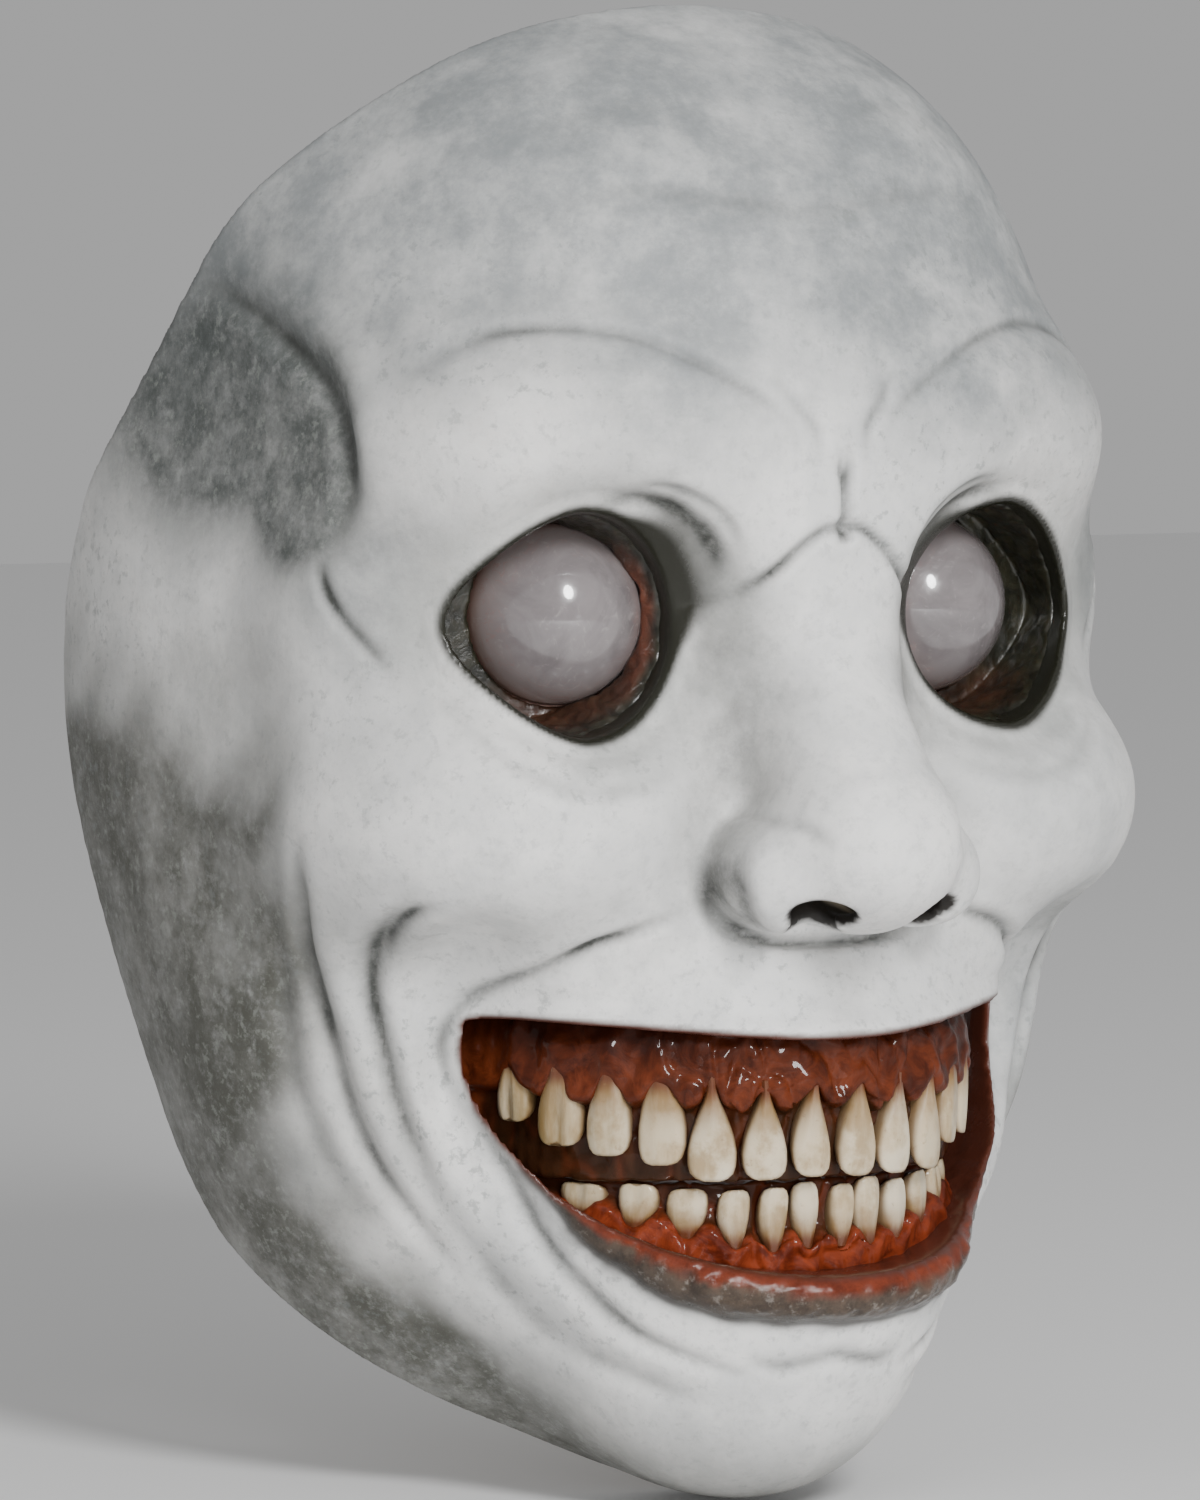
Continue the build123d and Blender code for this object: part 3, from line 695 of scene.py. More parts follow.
def mark_patches(skin, p, q):
    """Masks for the broad dabs of paint on the temples, brow and jaw, deepened as painted shade on the
    sides, along the rim, under the chin and on the wearer's left, and for painted shade in hollows.
    """
    drift = 5.0 * ripple(p, 45.0, 25) + 2.5 * ripple(p, 18.0, 26)
    y, z = q[:, 1], q[:, 2]
    # The sides, the underside of the chin and the rim: olive paint, deepened as painted shade.
    cheek = ramp(-60, -28, y + drift) * ramp(6, -30, z + drift)
    under_chin = ramp(-62, -40, y + drift) * ramp(-100, -122, z)
    behind = ramp(16, -10, outline_distance(y, z, RIM_PROFILE) + 26)
    rim_shade = 0.9 * (1 - behind) * ramp(-6, -40, z)
    brow = 0.75 * ramp(18, 64, z + drift) + spots(q, BLUE_GREY_AND_SHADE_SPOTS) + spots(p, BLUE_GREY_AND_SHADE_SPOTS_ON_ONE_SIDE)
    temple = spots(q, TEMPLE_SPOT, 3) + spots(q, TEMPLE_FRONT_SPOT, 4)
    store(skin, "temple", np.clip(temple, 0, 1))
    store(skin, "jaw", np.clip(np.maximum(np.maximum(cheek, under_chin), rim_shade), 0, 1))
    store(skin, "blue_grey_and_shade", np.clip(brow, 0, 1))
    store(skin, "warm", np.clip(spots(q, WARM_SPOTS), 0, 1))
    store(skin, "shade", np.clip(spots(q, PAINTED_SHADE_SPOTS), 0, 1))


def mark_nostrils(skin, p, q, depth_in):
    """Mask for the dark insides of the nostrils, which is painted shade of the holes."""
    hole = np.minimum(ellipsoid(q, *NOSTRIL_MOUTH), np.hypot(q[:, 0] - NOSTRIL[0], q[:, 1] - NOSTRIL[1]) - 4)
    in_nose = (p[:, 2] < -36) & (p[:, 2] > -60) & (p[:, 1] < -90)
    store(skin, "nostril", ramp(7.0, 4.0, hole) * ramp(0.1, 0.5, depth_in) * in_nose)


def finish_skin(skin):
    """Press the folds into the skin and keep the paint masks on its vertices."""
    p = points_of(skin)
    q = both_sides(p)
    depth_in = -form_distance(p)
    at_front = p[:, 1] < FRONT_Y
    eye = np.where(at_front, outline_distance(q[:, 0], q[:, 2], EYE), FAR)
    mouth = np.where(at_front, outline_distance(q[:, 0], q[:, 2], MOUTH), FAR)
    lift, fold_dark_and_shade, line = folds_at(p)
    low_lip = ramp(9.0, 6.0, mouth) * ramp(-90, -104, q[:, 2])
    lift = lift * ramp(0.5, 4.0, np.minimum(eye, mouth))
    lift += low_lip * (0.14 * ripple(p, 3.2, 14) + 0.22 * ripple(p, 7.0, 15))
    move_points(skin, p + form_gradient(p) * lift[:, None])

    outside = ramp(1.5, 0.4, depth_in)
    uneven = 0.95 + 0.3 * ripple(p, 14.0, 12)
    # The dark in the folds is partly paint and partly painted shade of the grooves.
    store(skin, "fold_dark_and_shade", fold_dark_and_shade * outside)
    store(skin, "line", np.clip(line * uneven, 0, 1) * outside)
    store(skin, "inside", ramp(1.5, 2.2, depth_in) * (eye > 3.2) * (mouth > 3.4))
    mark_eye_edges(skin, q, eye, depth_in)
    mark_lips(skin, p, q, mouth)
    mark_patches(skin, p, q)
    mark_nostrils(skin, p, q, depth_in)


def latex_paint():
    """White latex with sponged dark patches, thin dark lines in its folds and painted lips; the patches and
    lines are partly paint and partly painted shade.
    """
    paint = Paint("painted latex", Roughness=0.5, Subsurface_Weight=0.05, Subsurface_Scale=0.003,
                  Subsurface_Radius=(1.0, 0.7, 0.5), Specular_IOR_Level=0.4)
    broad = paint.noise(15, 5, 0.6)
    cloud = paint.noise(38, 6, 0.65, warp=0.6)
    coarse = paint.noise(55, 8, 0.72)
    sponge = paint.noise(130, 9, 0.78)
    grain = paint.noise(300, 7, 0.78)
    speck = paint.noise(420, 5, 0.7)
    fine = paint.noise(1100, 3, 0.6)

    paint.base(paint.mix(paint.spread(cloud, 0.32, 0.66), (0.80, 0.79, 0.77), (0.65, 0.65, 0.64)))
    blotch = paint.times(paint.spread(coarse, 0.46, 0.72), paint.spread(sponge, 0.3, 0.65, 0.3, 1.0))
    paint.over(blotch, (0.33, 0.34, 0.335), 0.3)
    paint.over(paint.masked("warm", sponge, 0.35, 0.75, 0.2, 0.9), (0.62, 0.565, 0.52), 0.5)
    # Blue-grey mottling, with painted shade on the brow, at the outer corners of the eyes and on the far
    # half.
    paint.over(paint.masked("blue_grey_and_shade", coarse, 0.26, 0.66, 0.5), (0.195, 0.21, 0.216), 0.95)
    # Dark grey-green paint in the temple hollow, deepened as painted shade on the side of the head.
    temple = paint.masked("temple", sponge, 0.26, 0.66, 0.72)
    paint.over(temple, (0.040, 0.048, 0.044), 0.95)
    # Olive paint on the sides, under the chin and along the rim, deepened as painted shade.
    jaw = paint.masked("jaw", coarse, 0.28, 0.60, 0.76)
    paint.over(jaw, (0.050, 0.050, 0.037), 0.97)
    flecks = paint.times(paint.spread(speck, 0.54, 0.66), paint.maths("MAXIMUM", temple, jaw))
    paint.over(flecks, (0.40, 0.43, 0.39), 0.28)
    paint.over(paint.spread(grain, 0.48, 0.72, 0.0, 0.4), (0.36, 0.365, 0.36))
    dots = paint.times(paint.spread(speck, 0.46, 0.34), paint.spread(broad, 0.38, 0.68, 0.2, 1.0))
    paint.over(dots, (0.20, 0.215, 0.21), 0.6)
    # Painted shade in the hollows of the face.
    paint.over(paint.masked("shade", coarse, 0.25, 0.65, 0.4), (0.17, 0.17, 0.16), 0.75)
    paint.over(paint.masked("eye_shade", cloud, 0.3, 0.7, 0.15, 0.6), (0.25, 0.255, 0.235))
    # Dark in the folds and a thin line at their bottoms: partly paint, partly painted shade.
    paint.over(paint.masked("fold_dark_and_shade", sponge, 0.28, 0.6, 0.1, 0.65), (0.15, 0.157, 0.147))
    paint.over(paint.masked("line", sponge, 0.3, 0.62, 0.65), (0.04, 0.042, 0.038))

    lips = paint.mix(paint.spread(sponge, 0.35, 0.66), (0.030, 0.021, 0.015), (0.088, 0.062, 0.044))
    lips = paint.mix(paint.times(paint.spread(speck, 0.55, 0.68), 0.4), lips, (0.30, 0.27, 0.24))
    red = paint.mix(paint.spread(sponge, 0.3, 0.7), (0.07, 0.012, 0.005), (0.18, 0.032, 0.012))
    lip, rim = paint.attribute("lip"), paint.attribute("eye_edge")
    paint.over(lip, paint.mix(paint.attribute("lip_red"), lips, red))
    paint.over(paint.attribute("lip_edge"), (0.028, 0.025, 0.022))
    paint.over(paint.attribute("mouth_edge"), (0.07, 0.02, 0.012))
    paint.over(rim, (0.015, 0.015, 0.010))
    paint.over(paint.attribute("inside"), paint.mix(cloud, (0.56, 0.50, 0.40), (0.66, 0.60, 0.49)))
    # Painted shade inside the nostrils.
    paint.over(paint.attribute("nostril"), (0.018, 0.016, 0.014))

    wet = paint.times(paint.maths("MAXIMUM", lip, rim), 0.28)
    paint.put("Roughness", paint.maths("SUBTRACT", paint.spread(sponge, 0.3, 0.7, 0.40, 0.56), wet))
    paint.bump(broad, 0.6, 0.25)
    paint.bump(cloud, 0.5, 0.3)
    paint.bump(sponge, 0.35, 0.4)
    paint.bump(fine, 0.12, 0.35)
    return paint


def make_skin():
    skin = surface_object("mask_skin_look", skin_distance, (-90, -125, -158), (90, 42, 112), 0.8)
    finish_skin(skin)
    dress(skin, latex_paint(), "mask", "latex", "mask_skin")


# ---- eyes --------------------------------------------------------------------------------


def socket_distance(points):
    """Wet flesh round the eyeball: it fills the hole's wall and slopes in to the ball."""
    p = both_sides(points)
    x, y, z = p[..., 0], p[..., 1], p[..., 2]
    form = form_distance(p)
    eye = outline_distance(x, z, EYE)
    depth, across = eye_axes(p)
    block = np.maximum(np.maximum(eye - 0.7, form + 1.3), 1.9 - depth)
    rim = np.maximum(np.sqrt((across / 24) ** 2 + ((z - EYE_CENTRE[2]) / 22) ** 2) - 1, -1) * 22
    block = join(block, np.maximum(np.maximum(rim, np.abs(depth - 3.4) - 1.4), form + SKIN + GLUE), 1.0)
    steep = 0.05 + 0.16 * ramp(44, 28, x) + 0.06 * ramp(-4, -14, z)
    slope = eye + 0.5 + steep * np.clip(15 - depth, 0, 30)
    hollow = np.maximum(slope, 3.2 - depth)
    flesh = carve(block, hollow, 2.0)
    ball = np.linalg.norm(p - np.array(EYE_CENTRE, np.float32), axis=-1) - LENS_RADIUS - 0.15
    return carve(flesh, ball, 0.3)


def socket_paint():
    """Nearly black flesh, rusty red where the red mask is."""
    paint = Paint("wet socket latex", Roughness=0.3, Coat_Weight=0.3, Coat_Roughness=0.1,
                  Subsurface_Weight=0.1, Subsurface_Scale=0.002)
    lumps = paint.noise(260, 6, 0.65, warp=0.5)
    streak = paint.noise(90, 5, 0.6)
    dark = paint.mix(paint.spread(lumps, 0.35, 0.7), (0.008, 0.008, 0.005), (0.026, 0.024, 0.014))
    rust = paint.mix(paint.spread(streak, 0.3, 0.65), (0.050, 0.014, 0.007), (0.12, 0.034, 0.017))
    paint.base(paint.mix(paint.masked("red", lumps, 0.25, 0.6, 0.5), dark, rust))
    paint.bump(lumps, 0.8, 0.6)
    return paint


def eye_paint():
    """Clouded plastic eyeball, paler round its edge, with faint veins."""
    paint = Paint("clouded eye plastic", Roughness=0.16, Coat_Weight=1.0, Coat_Roughness=0.03,
                  Subsurface_Weight=0.15, Subsurface_Scale=0.003, Subsurface_Radius=(1.0, 0.8, 0.8))
    fog = paint.noise(70, 6, 0.6, warp=1.2)
    fine = paint.noise(330, 6, 0.65, warp=2.0)
    veins = paint.noise(120, 3, 0.5, warp=3.0)
    limb = paint.gaze(EYE_CENTRE, EYE_YAW)
    paint.base(paint.mix(paint.spread(fog, 0.3, 0.7), (0.135, 0.119, 0.122), (0.20, 0.18, 0.182)))
    paint.over(paint.spread(limb, 0.80, 0.25, 0.0, 0.75), (0.34, 0.275, 0.26))
    paint.over(paint.spread(limb, 0.42, 0.12, 0.0, 0.8), (0.24, 0.12, 0.085))
    thread = paint.spread(paint.maths("ABSOLUTE", paint.maths("SUBTRACT", veins, 0.5)), 0.018, 0.0)
    paint.over(paint.times(thread, paint.spread(limb, 0.9, 0.4, 0.0, 0.35)), (0.30, 0.15, 0.13))
    paint.over(paint.spread(fine, 0.55, 0.75, 0.0, 0.35), (0.36, 0.33, 0.32))
    paint.put("Roughness", paint.spread(fine, 0.3, 0.7, 0.12, 0.26))
    return paint


def make_eyes():
    flesh = socket_paint()
    clouded = eye_paint()
    near_x, far_x = 10, 66
    for side, low_x, high_x in (("left", near_x, far_x), ("right", -far_x, -near_x)):
        low, high = (low_x, -88, -25), (high_x, -48, 28)
        socket = surface_object(f"{side}_eye_flesh", socket_distance, low, high, 0.6)
        p = points_of(socket)
        free = ramp(2.5, 5.0, eye_axes(both_sides(p))[0])
        p += normals_of(socket) * (free * (0.16 * ripple(p, 3.0, 5) + 0.22 * ripple(p, 7.0, 8)))[:, None]
        move_points(socket, p)
        q = both_sides(p)
        red = ramp(33, 25, q[:, 0]) + 0.35 * ramp(-8, -14, q[:, 2])
        edge = outline_distance(q[:, 0], q[:, 2], EYE)
        store(socket, "red", np.clip(red, 0, 1) * ramp(-0.2, -1.6, edge))
        dress(socket, flesh, "mask", "socket_latex", f"{side}_eye_socket")
        coat(bpy.data.objects[f"{side}_eye_lens"], clouded)


# ---- mouth -------------------------------------------------------------------------------


def arch_coordinates(p):
    """Radius from the axis of the tooth rows, and angle in degrees from the front."""
    x, y = p[..., 0], p[..., 1] - ARCH_Y
    return np.hypot(x, y), np.degrees(np.arctan2(x, -y))


def gum_relief(angle, z, teeth, up):
    """How far in mm the gum stands out: most over the roots, and 0 past its scalloped margin."""
    margin = np.zeros(np.shape(angle), np.float32)
    total = np.full(np.shape(angle), 1e-6, np.float32)
    ridge = np.zeros(np.shape(angle), np.float32)
    reveal, gap = (2.6, 3.6) if up > 0 else (0.8, 2.6)
    for at, _, _, root, _ in teeth:
        for sign in (-1, 1):
            offset = angle - sign * at
            weight = np.exp(-((offset / 6.0) ** 2))
            margin += weight * (root - up * reveal)
            total += weight
            ridge = np.maximum(ridge, np.exp(-((offset / 2.8) ** 2)))
    margin = margin / total - up * gap * (1 - ridge)
    above = up * (z - margin)
    swell = ramp(0, 3, above) * ramp(12, 5, above)
    return 3.3 * ramp(-0.9, 1.1, above) + 0.7 * ridge * swell


def gum_distance_of(profile, teeth, up):
    """Distance to one gum: a curved band that swells over each root."""
    heights, radii = zip(*sorted((z, radius) for radius, z in profile))
    low, high = heights[0], heights[-1]

    def distance(p):
        radius, angle = arch_coordinates(p)
        z = p[..., 2]
        front = np.interp(z, heights, radii)
        back = front - GUM_WALL
        front = front + gum_relief(angle, z, teeth, up) + 4.0 * ramp(78, 92, np.abs(angle))
        wall = np.maximum(radius - front, back - radius)
        ends = (np.abs(angle) - GUM_SWEEP) * math.radians(1) * back
        return np.maximum(np.maximum(wall, ends), np.maximum(low - z, z - high))

    return distance


def make_gum(name, profile, teeth, up, seed):
    """Gum with lumps and, in its middle, fine cords up its front."""
    distance = gum_distance_of(profile, teeth, up)
    low = min(row[1] for row in profile)
    high = max(row[1] for row in profile)
    gum = surface_object(name + "_look", distance, (-51, -101, low - 2), (51, -36, high + 2), 0.55)
    p = points_of(gum)
    radius, angle = arch_coordinates(p)
    heights, radii = zip(*sorted((z, front) for front, z in profile))
    stand = radius - np.interp(p[:, 2], heights, radii)
    front = ramp(-2.5, -0.6, stand)
    cords = ripple(p * np.array([1.0, 1.0, 0.35], np.float32), 6.5, seed)
    cords = np.exp(-((cords / 0.3) ** 2))
    middle = ramp(50, 12, np.abs(angle + 8))
    lumps = 0.35 * ripple(p, 8.0, seed + 1) + 0.12 * ripple(p, 3.2, seed + 2) + 0.9 * cords * middle
    move_points(gum, p + normals_of(gum) * (front * lumps)[:, None])
    store(gum, "front", front)
    store(gum, "proud", ramp(0.6, 2.8, stand))
    store(gum, "cord", cords * front)
    store(gum, "height", (p[:, 2] - low) / (high - low))
    dress(gum, GUM_PAINTS[name], "mask", "gum", name)


def gum_paint(name, deep, bright, up):
    """Dark wet red, lighter on its raised lumps and cords, which is partly painted highlight; painted shade
    in its recesses; darker towards its top, which on the upper gum is a painted shadow of the upper lip.
    """
    paint = Paint(name, Roughness=0.45, Coat_Weight=0.28, Coat_Roughness=0.05, Specular_IOR_Level=0.08,
                  Subsurface_Weight=0.05, Subsurface_Scale=0.002, Subsurface_Radius=(1.0, 0.25, 0.12))
    lumps = paint.noise(190, 7, 0.68, warp=0.8)
    patches = paint.noise(60, 4, 0.6)
    grain = paint.noise(900, 3, 0.6)
    # The lighter red follows the raised lumps of the bump: partly the gum's colour, partly painted
    # highlight.
    paint.base(paint.mix(paint.spread(lumps, 0.32, 0.68), deep, bright))
    paint.over(paint.spread(patches, 0.48, 0.7), tuple(0.3 * v for v in deep), 0.75)
    # Painted shade in the recesses between the roots.
    recess_shade = paint.maths("SUBTRACT", 1.0, paint.attribute("proud"))
    paint.over(recess_shade, (0.030, 0.014, 0.006), 0.85)
    # Painted highlight on the raised cords.
    paint.over(paint.attribute("cord"), bright, 0.35)
    # Darker towards the top: on the upper gum a painted shadow of the upper lip.
    low, high, most = (0.55, 0.85, 0.85) if up else (0.6, 1.0, 0.3)
    paint.over(paint.spread(paint.attribute("height"), low, high, 0.0, most), tuple(0.2 * v for v in deep))
    paint.over(paint.maths("SUBTRACT", 1.0, paint.attribute("front")), (0.10, 0.03, 0.018))
    paint.bump(lumps, 0.8, 0.4)
    paint.bump(grain, 0.06, 0.3)
    return paint


GUM_PAINTS = {
    "upper_gum": gum_paint("upper gum latex", (0.042, 0.008, 0.003), (0.125, 0.026, 0.009), True),
    "lower_gum": gum_paint("lower gum latex", (0.07, 0.010, 0.004), (0.22, 0.036, 0.012), False),
}

# How wide and how deep a tooth is along its length, from root to biting edge.
UPPER_SHAPE = [(0.0, 0.16, 0.60), (0.12, 0.20, 0.80), (0.26, 0.38, 0.95), (0.4, 0.62, 1.0),
               (0.56, 0.86, 0.94), (0.72, 1.0, 0.82), (0.85, 0.98, 0.64), (0.93, 0.86, 0.46),
               (0.98, 0.62, 0.30), (1.0, 0.36, 0.16)]
MOLAR_SHAPE = [(0.0, 0.40, 0.60), (0.2, 0.66, 1.0), (0.4, 0.88, 1.0), (0.6, 1.0, 0.95), (0.8, 1.0, 0.85),
               (0.92, 0.88, 0.62), (0.98, 0.66, 0.36), (1.0, 0.4, 0.2)]
LOWER_SHAPE = [(0.0, 0.45, 0.75), (0.12, 0.60, 0.95), (0.3, 0.82, 1.0), (0.5, 0.97, 0.92), (0.7, 1.0, 0.78),
               (0.86, 0.94, 0.6), (0.95, 0.78, 0.42), (1.0, 0.45, 0.2)]
AROUND, ALONG = 36, 30


def make_tooth(name, angle, half_width, tip, root, lean, root_radius, shape, lobes, paint, seed):
    """Tooth with a rounded biting edge, faint ridges and its own small twist."""
    rng = np.random.default_rng(seed)
    steps, widths, depths = np.array(shape).T
    twist = math.radians(angle + rng.uniform(-3, 3))
    tilt = math.radians(lean + rng.uniform(-1.5, 1.5))
    skew = rng.uniform(-0.5, 0.5)
    grow = rng.uniform(0.9, 1.05)
    tip += rng.uniform(-0.5, 0.5)
    phase = rng.uniform(0, 6.28)
    vertices, stain, side_stain_and_shade = [], [], []
    for t in 0.5 - 0.5 * np.cos(np.linspace(0, math.pi, ALONG)):
        half_x = half_width * grow * np.interp(t, steps, widths)
        half_y = TOOTH_DEPTH * np.interp(t, steps, depths)
        for turn in np.linspace(0, 2 * math.pi, AROUND, endpoint=False):
            c, s = math.cos(turn), math.sin(turn)
            x = half_x * math.copysign(abs(c) ** 0.8, c)
            y = half_y * math.copysign(abs(s) ** 0.85, s)
            cleft = lobes * ramp(0.15, 0.75, t) * math.exp(-((x / (0.2 * half_width)) ** 2))
            y *= 1 - 0.38 * cleft
            y += (half_y - TOOTH_DEPTH) * 0.9 + 0.35 * (1 - 2 * t) ** 2 * (s < 0)
            y += 0.07 * math.sin(9 * c + phase) * (s < 0)
            z = (tip - root) * t * (1 - 0.05 * cleft * t)
            x += skew * t + 0.12 * math.sin(5 * t + phase)
            x, z = x * math.cos(tilt) + z * math.sin(tilt), z * math.cos(tilt) - x * math.sin(tilt)
            vertices.append((x * math.cos(twist) - y * math.sin(twist),
                             x * math.sin(twist) + y * math.cos(twist), z))
            stain.append(1 - t)
            # Darker on the sides, back and biting edge: stain, with painted shade on the sides and back.
            side_stain_and_shade.append(max(ramp(0.62, 0.05, -s), 0.8 * ramp(0.965, 1.0, t)) * 0.85)
    faces = tube_faces(ALONG, AROUND)
    if tip < root:
        faces = [face[::-1] for face in faces]
    turn = math.radians(angle)
    place = np.array((root_radius * math.sin(turn), ARCH_Y - root_radius * math.cos(turn), root))
    piece = add_object(name + "_look", np.array(vertices) + place, faces)
    store(piece, "stain", stain)
    store(piece, "side", side_stain_and_shade)
    store(piece, "tone", [rng.uniform(0, 1)] * len(vertices))
    store(piece, "age", [abs(angle) / 75 + rng.uniform(-0.12, 0.12)] * len(vertices))
    dress(piece, paint, "mask", "tooth", name)


def tooth_paint():
    """Ivory, browner towards the gum and on the older teeth at the back, and darker on the sides, back and
    biting edge of each tooth: stain, with painted shade on the sides and back.
    """
    paint = Paint("stained ivory", Roughness=0.3, Coat_Weight=0.35, Coat_Roughness=0.15,
                  Subsurface_Weight=0.25, Subsurface_Scale=0.002, Subsurface_Radius=(1.0, 0.75, 0.5))
    cloud = paint.noise(110, 5, 0.6)
    streak = paint.noise(240, 5, 0.65, stretch=(1, 1, 0.22))
    speck = paint.noise(650, 4, 0.7)
    paint.base(paint.mix(paint.attribute("tone"), (0.58, 0.48, 0.33), (0.66, 0.58, 0.44)))
    paint.over(paint.spread(cloud, 0.35, 0.7, 0.0, 0.6), (0.50, 0.37, 0.20))
    age = paint.spread(paint.attribute("age"), 0.35, 0.95)
    paint.over(paint.times(age, paint.spread(streak, 0.3, 0.65, 0.3, 1.0)), (0.27, 0.19, 0.08))
    stain = paint.attribute("stain")
    near_gum = paint.times(paint.spread(stain, 0.3, 0.85), paint.spread(streak, 0.25, 0.6, 0.5, 1.0))
    paint.over(near_gum, (0.20, 0.105, 0.035))
    grime = paint.times(paint.spread(cloud, 0.45, 0.62), paint.spread(streak, 0.35, 0.6, 0.2, 0.9))
    paint.over(grime, (0.24, 0.15, 0.055), 0.7)
    paint.over(paint.spread(stain, 0.68, 0.9, 0.0, 0.9), (0.10, 0.025, 0.010))
    paint.over(paint.spread(speck, 0.60, 0.72, 0.0, 0.45), (0.22, 0.13, 0.06))
    # Stain, with painted shade on the sides and back of each tooth.
    paint.over(paint.attribute("side"), (0.12, 0.065, 0.025))
    paint.bump(streak, 0.5, 0.3)
    return paint


def make_mouth():
    """Both rows of teeth, numbered from the wearer's right, and both gums."""
    paint = tooth_paint()
    rows = (("upper", UPPER_TEETH, UPPER_ROOT_RADIUS, UPPER_SHAPE),
            ("lower", LOWER_TEETH, LOWER_ROOT_RADIUS, LOWER_SHAPE))
    for jaw, teeth, radius, shape in rows:
        count = len(teeth)
        for i, (angle, width, tip, root, lean) in enumerate(teeth):
            lobes = 0.9 if i >= count - 2 else 0.0
            for side, number in ((1, count + 1 + i), (-1, count - i)):
                form = MOLAR_SHAPE if jaw == "upper" and i >= 3 else shape
                seed = 40 * (jaw == "upper") + number
                make_tooth(f"{jaw}_tooth_{number:02d}", side * angle, width, tip, root, side * lean, radius,
                           form, lobes, paint, seed)
    make_gum("upper_gum", UPPER_GUM_PROFILE, UPPER_TEETH, 1, 21)
    make_gum("lower_gum", LOWER_GUM_PROFILE, LOWER_TEETH, -1, 33)


# ---- padding and patches -----------------------------------------------------------------


def turned(p):
    """Turn and rise in degrees, and distance in mm, from the middle of the form."""
    q = p - FORM_CENTRE
    reach = np.linalg.norm(q, axis=-1) + 1e-6
    return np.degrees(np.arctan2(q[..., 0], -q[..., 1])), np.degrees(np.arcsin(q[..., 2] / reach)), reach


def lining_distance_of(turn, turn_half, rise, rise_half, outer, inner, crown):
    """Distance to a rounded plate that lies against the inside of the form."""

    def distance(p):
        at_turn, at_rise, reach = turned(p)
        u = (at_turn - turn) / turn_half
        v = (at_rise - rise) / rise_half
        size = min(turn_half, rise_half) * math.radians(1) * reach
        edge = ((np.abs(u) ** 5 + np.abs(v) ** 5) ** 0.2 - 1) * size
        form = form_distance(p)
        swell = crown * ramp(0, -8, edge)
        face = np.maximum(form + outer, -(form + inner + swell - crown))
        soft = 1.8 if crown else 0.5
        return carve(face, -edge, soft)

    return distance


def lining_box(turn, turn_half, rise, rise_half):
    """Low and high corner of a box that holds a plate of the lining."""
    corners = []
    reach = np.arange(40.0, 150.0, 1.0)
    for a in np.radians(np.linspace(turn - turn_half, turn + turn_half, 7)):
        for b in np.radians(np.linspace(rise - rise_half, rise + rise_half, 7)):
            way = np.array([math.sin(a) * math.cos(b), -math.cos(a) * math.cos(b), math.sin(b)])
            points = (FORM_CENTRE + reach[:, None] * way).astype(np.float32)
            corners.append(points[np.argmin(np.abs(form_distance(points)))])
    return np.min(corners, 0) - 14, np.max(corners, 0) + 14


def foam_paint():
    """Dark foam with open cells, painted darker in the pores as painted shade."""
    paint = Paint("open-cell foam", Roughness=0.95, Sheen_Weight=0.2)
    cells = paint.cells(900)
    cloud = paint.noise(60, 4, 0.6)
    # The cell middles are the pits of the bump; painting them darker is painted shade in the pores.
    paint.base(paint.mix(paint.spread(cells, 0.1, 0.6), (0.035, 0.036, 0.038), (0.085, 0.086, 0.09)))
    paint.over(paint.spread(cloud, 0.4, 0.7, 0.0, 0.3), (0.12, 0.12, 0.12))
    paint.bump(cells, 0.5, 0.7)
    return paint


def cloth_paint():
    """Woven cotton cloth, paler where it is worn."""
    paint = Paint("patch cloth", Roughness=0.85, Sheen_Weight=0.3)
    weave = paint.cells(1300)
    cloud = paint.noise(80, 4, 0.6)
    paint.base(paint.mix(paint.spread(weave, 0.0, 0.6), (0.50, 0.46, 0.38), (0.34, 0.31, 0.26)))
    paint.over(paint.spread(cloud, 0.4, 0.7, 0.0, 0.25), (0.80, 0.736, 0.608))
    paint.bump(weave, 0.3, 0.6)
    return paint


def make_lining():
    """Foam pads, and the cloth patches under the snaps."""
    foam = foam_paint()
    outer = SKIN + GLUE
    for name, *place in PADS:
        low, high = lining_box(*place)
        distance = lining_distance_of(*place, outer, outer + PAD_THICK, 3.0)
        pad = surface_object(name + "_look", distance, low, high, 1.0)
        p = points_of(pad)
        move_points(pad, p + normals_of(pad) * (0.15 * ripple(p, 9.0, 3))[:, None])
        dress(pad, foam, "mask", "foam", name)
    cloth = cloth_paint()
    outer = SKIN + GLUE / 2
    for side, sign in (("left", 1), ("right", -1)):
        place = (sign * SNAP_TURN, PATCH_TURN, SNAP_RISE, PATCH_RISE)
        low, high = lining_box(*place)
        distance = lining_distance_of(*place, outer, outer + PATCH_THICK, 0.0)
        patch = surface_object(f"{side}_anchor_patch_look", distance, low, high, 0.7)
        dress(patch, cloth, "mask", "patch_fabric", f"{side}_anchor_patch")


def side_reach(depth):
    """X of the form's left side at that depth under its surface, level with the snap."""
    x = np.arange(60.0, 90.0, 0.01, dtype=np.float32)
    p = np.stack([x, np.zeros_like(x), np.zeros_like(x)], -1)
    return float(x[np.argmin(np.abs(form_distance(p) + depth))])


SKIN_X = side_reach(SKIN)
TAB_X = SKIN_X - TAB_DEPTH
SNAP_TURN = math.degrees(math.atan2(SKIN_X, -float(FORM_CENTRE[1])))
SNAP_RISE = math.degrees(math.atan2(-float(FORM_CENTRE[2]), SKIN_X))


# ---- strap -------------------------------------------------------------------------------


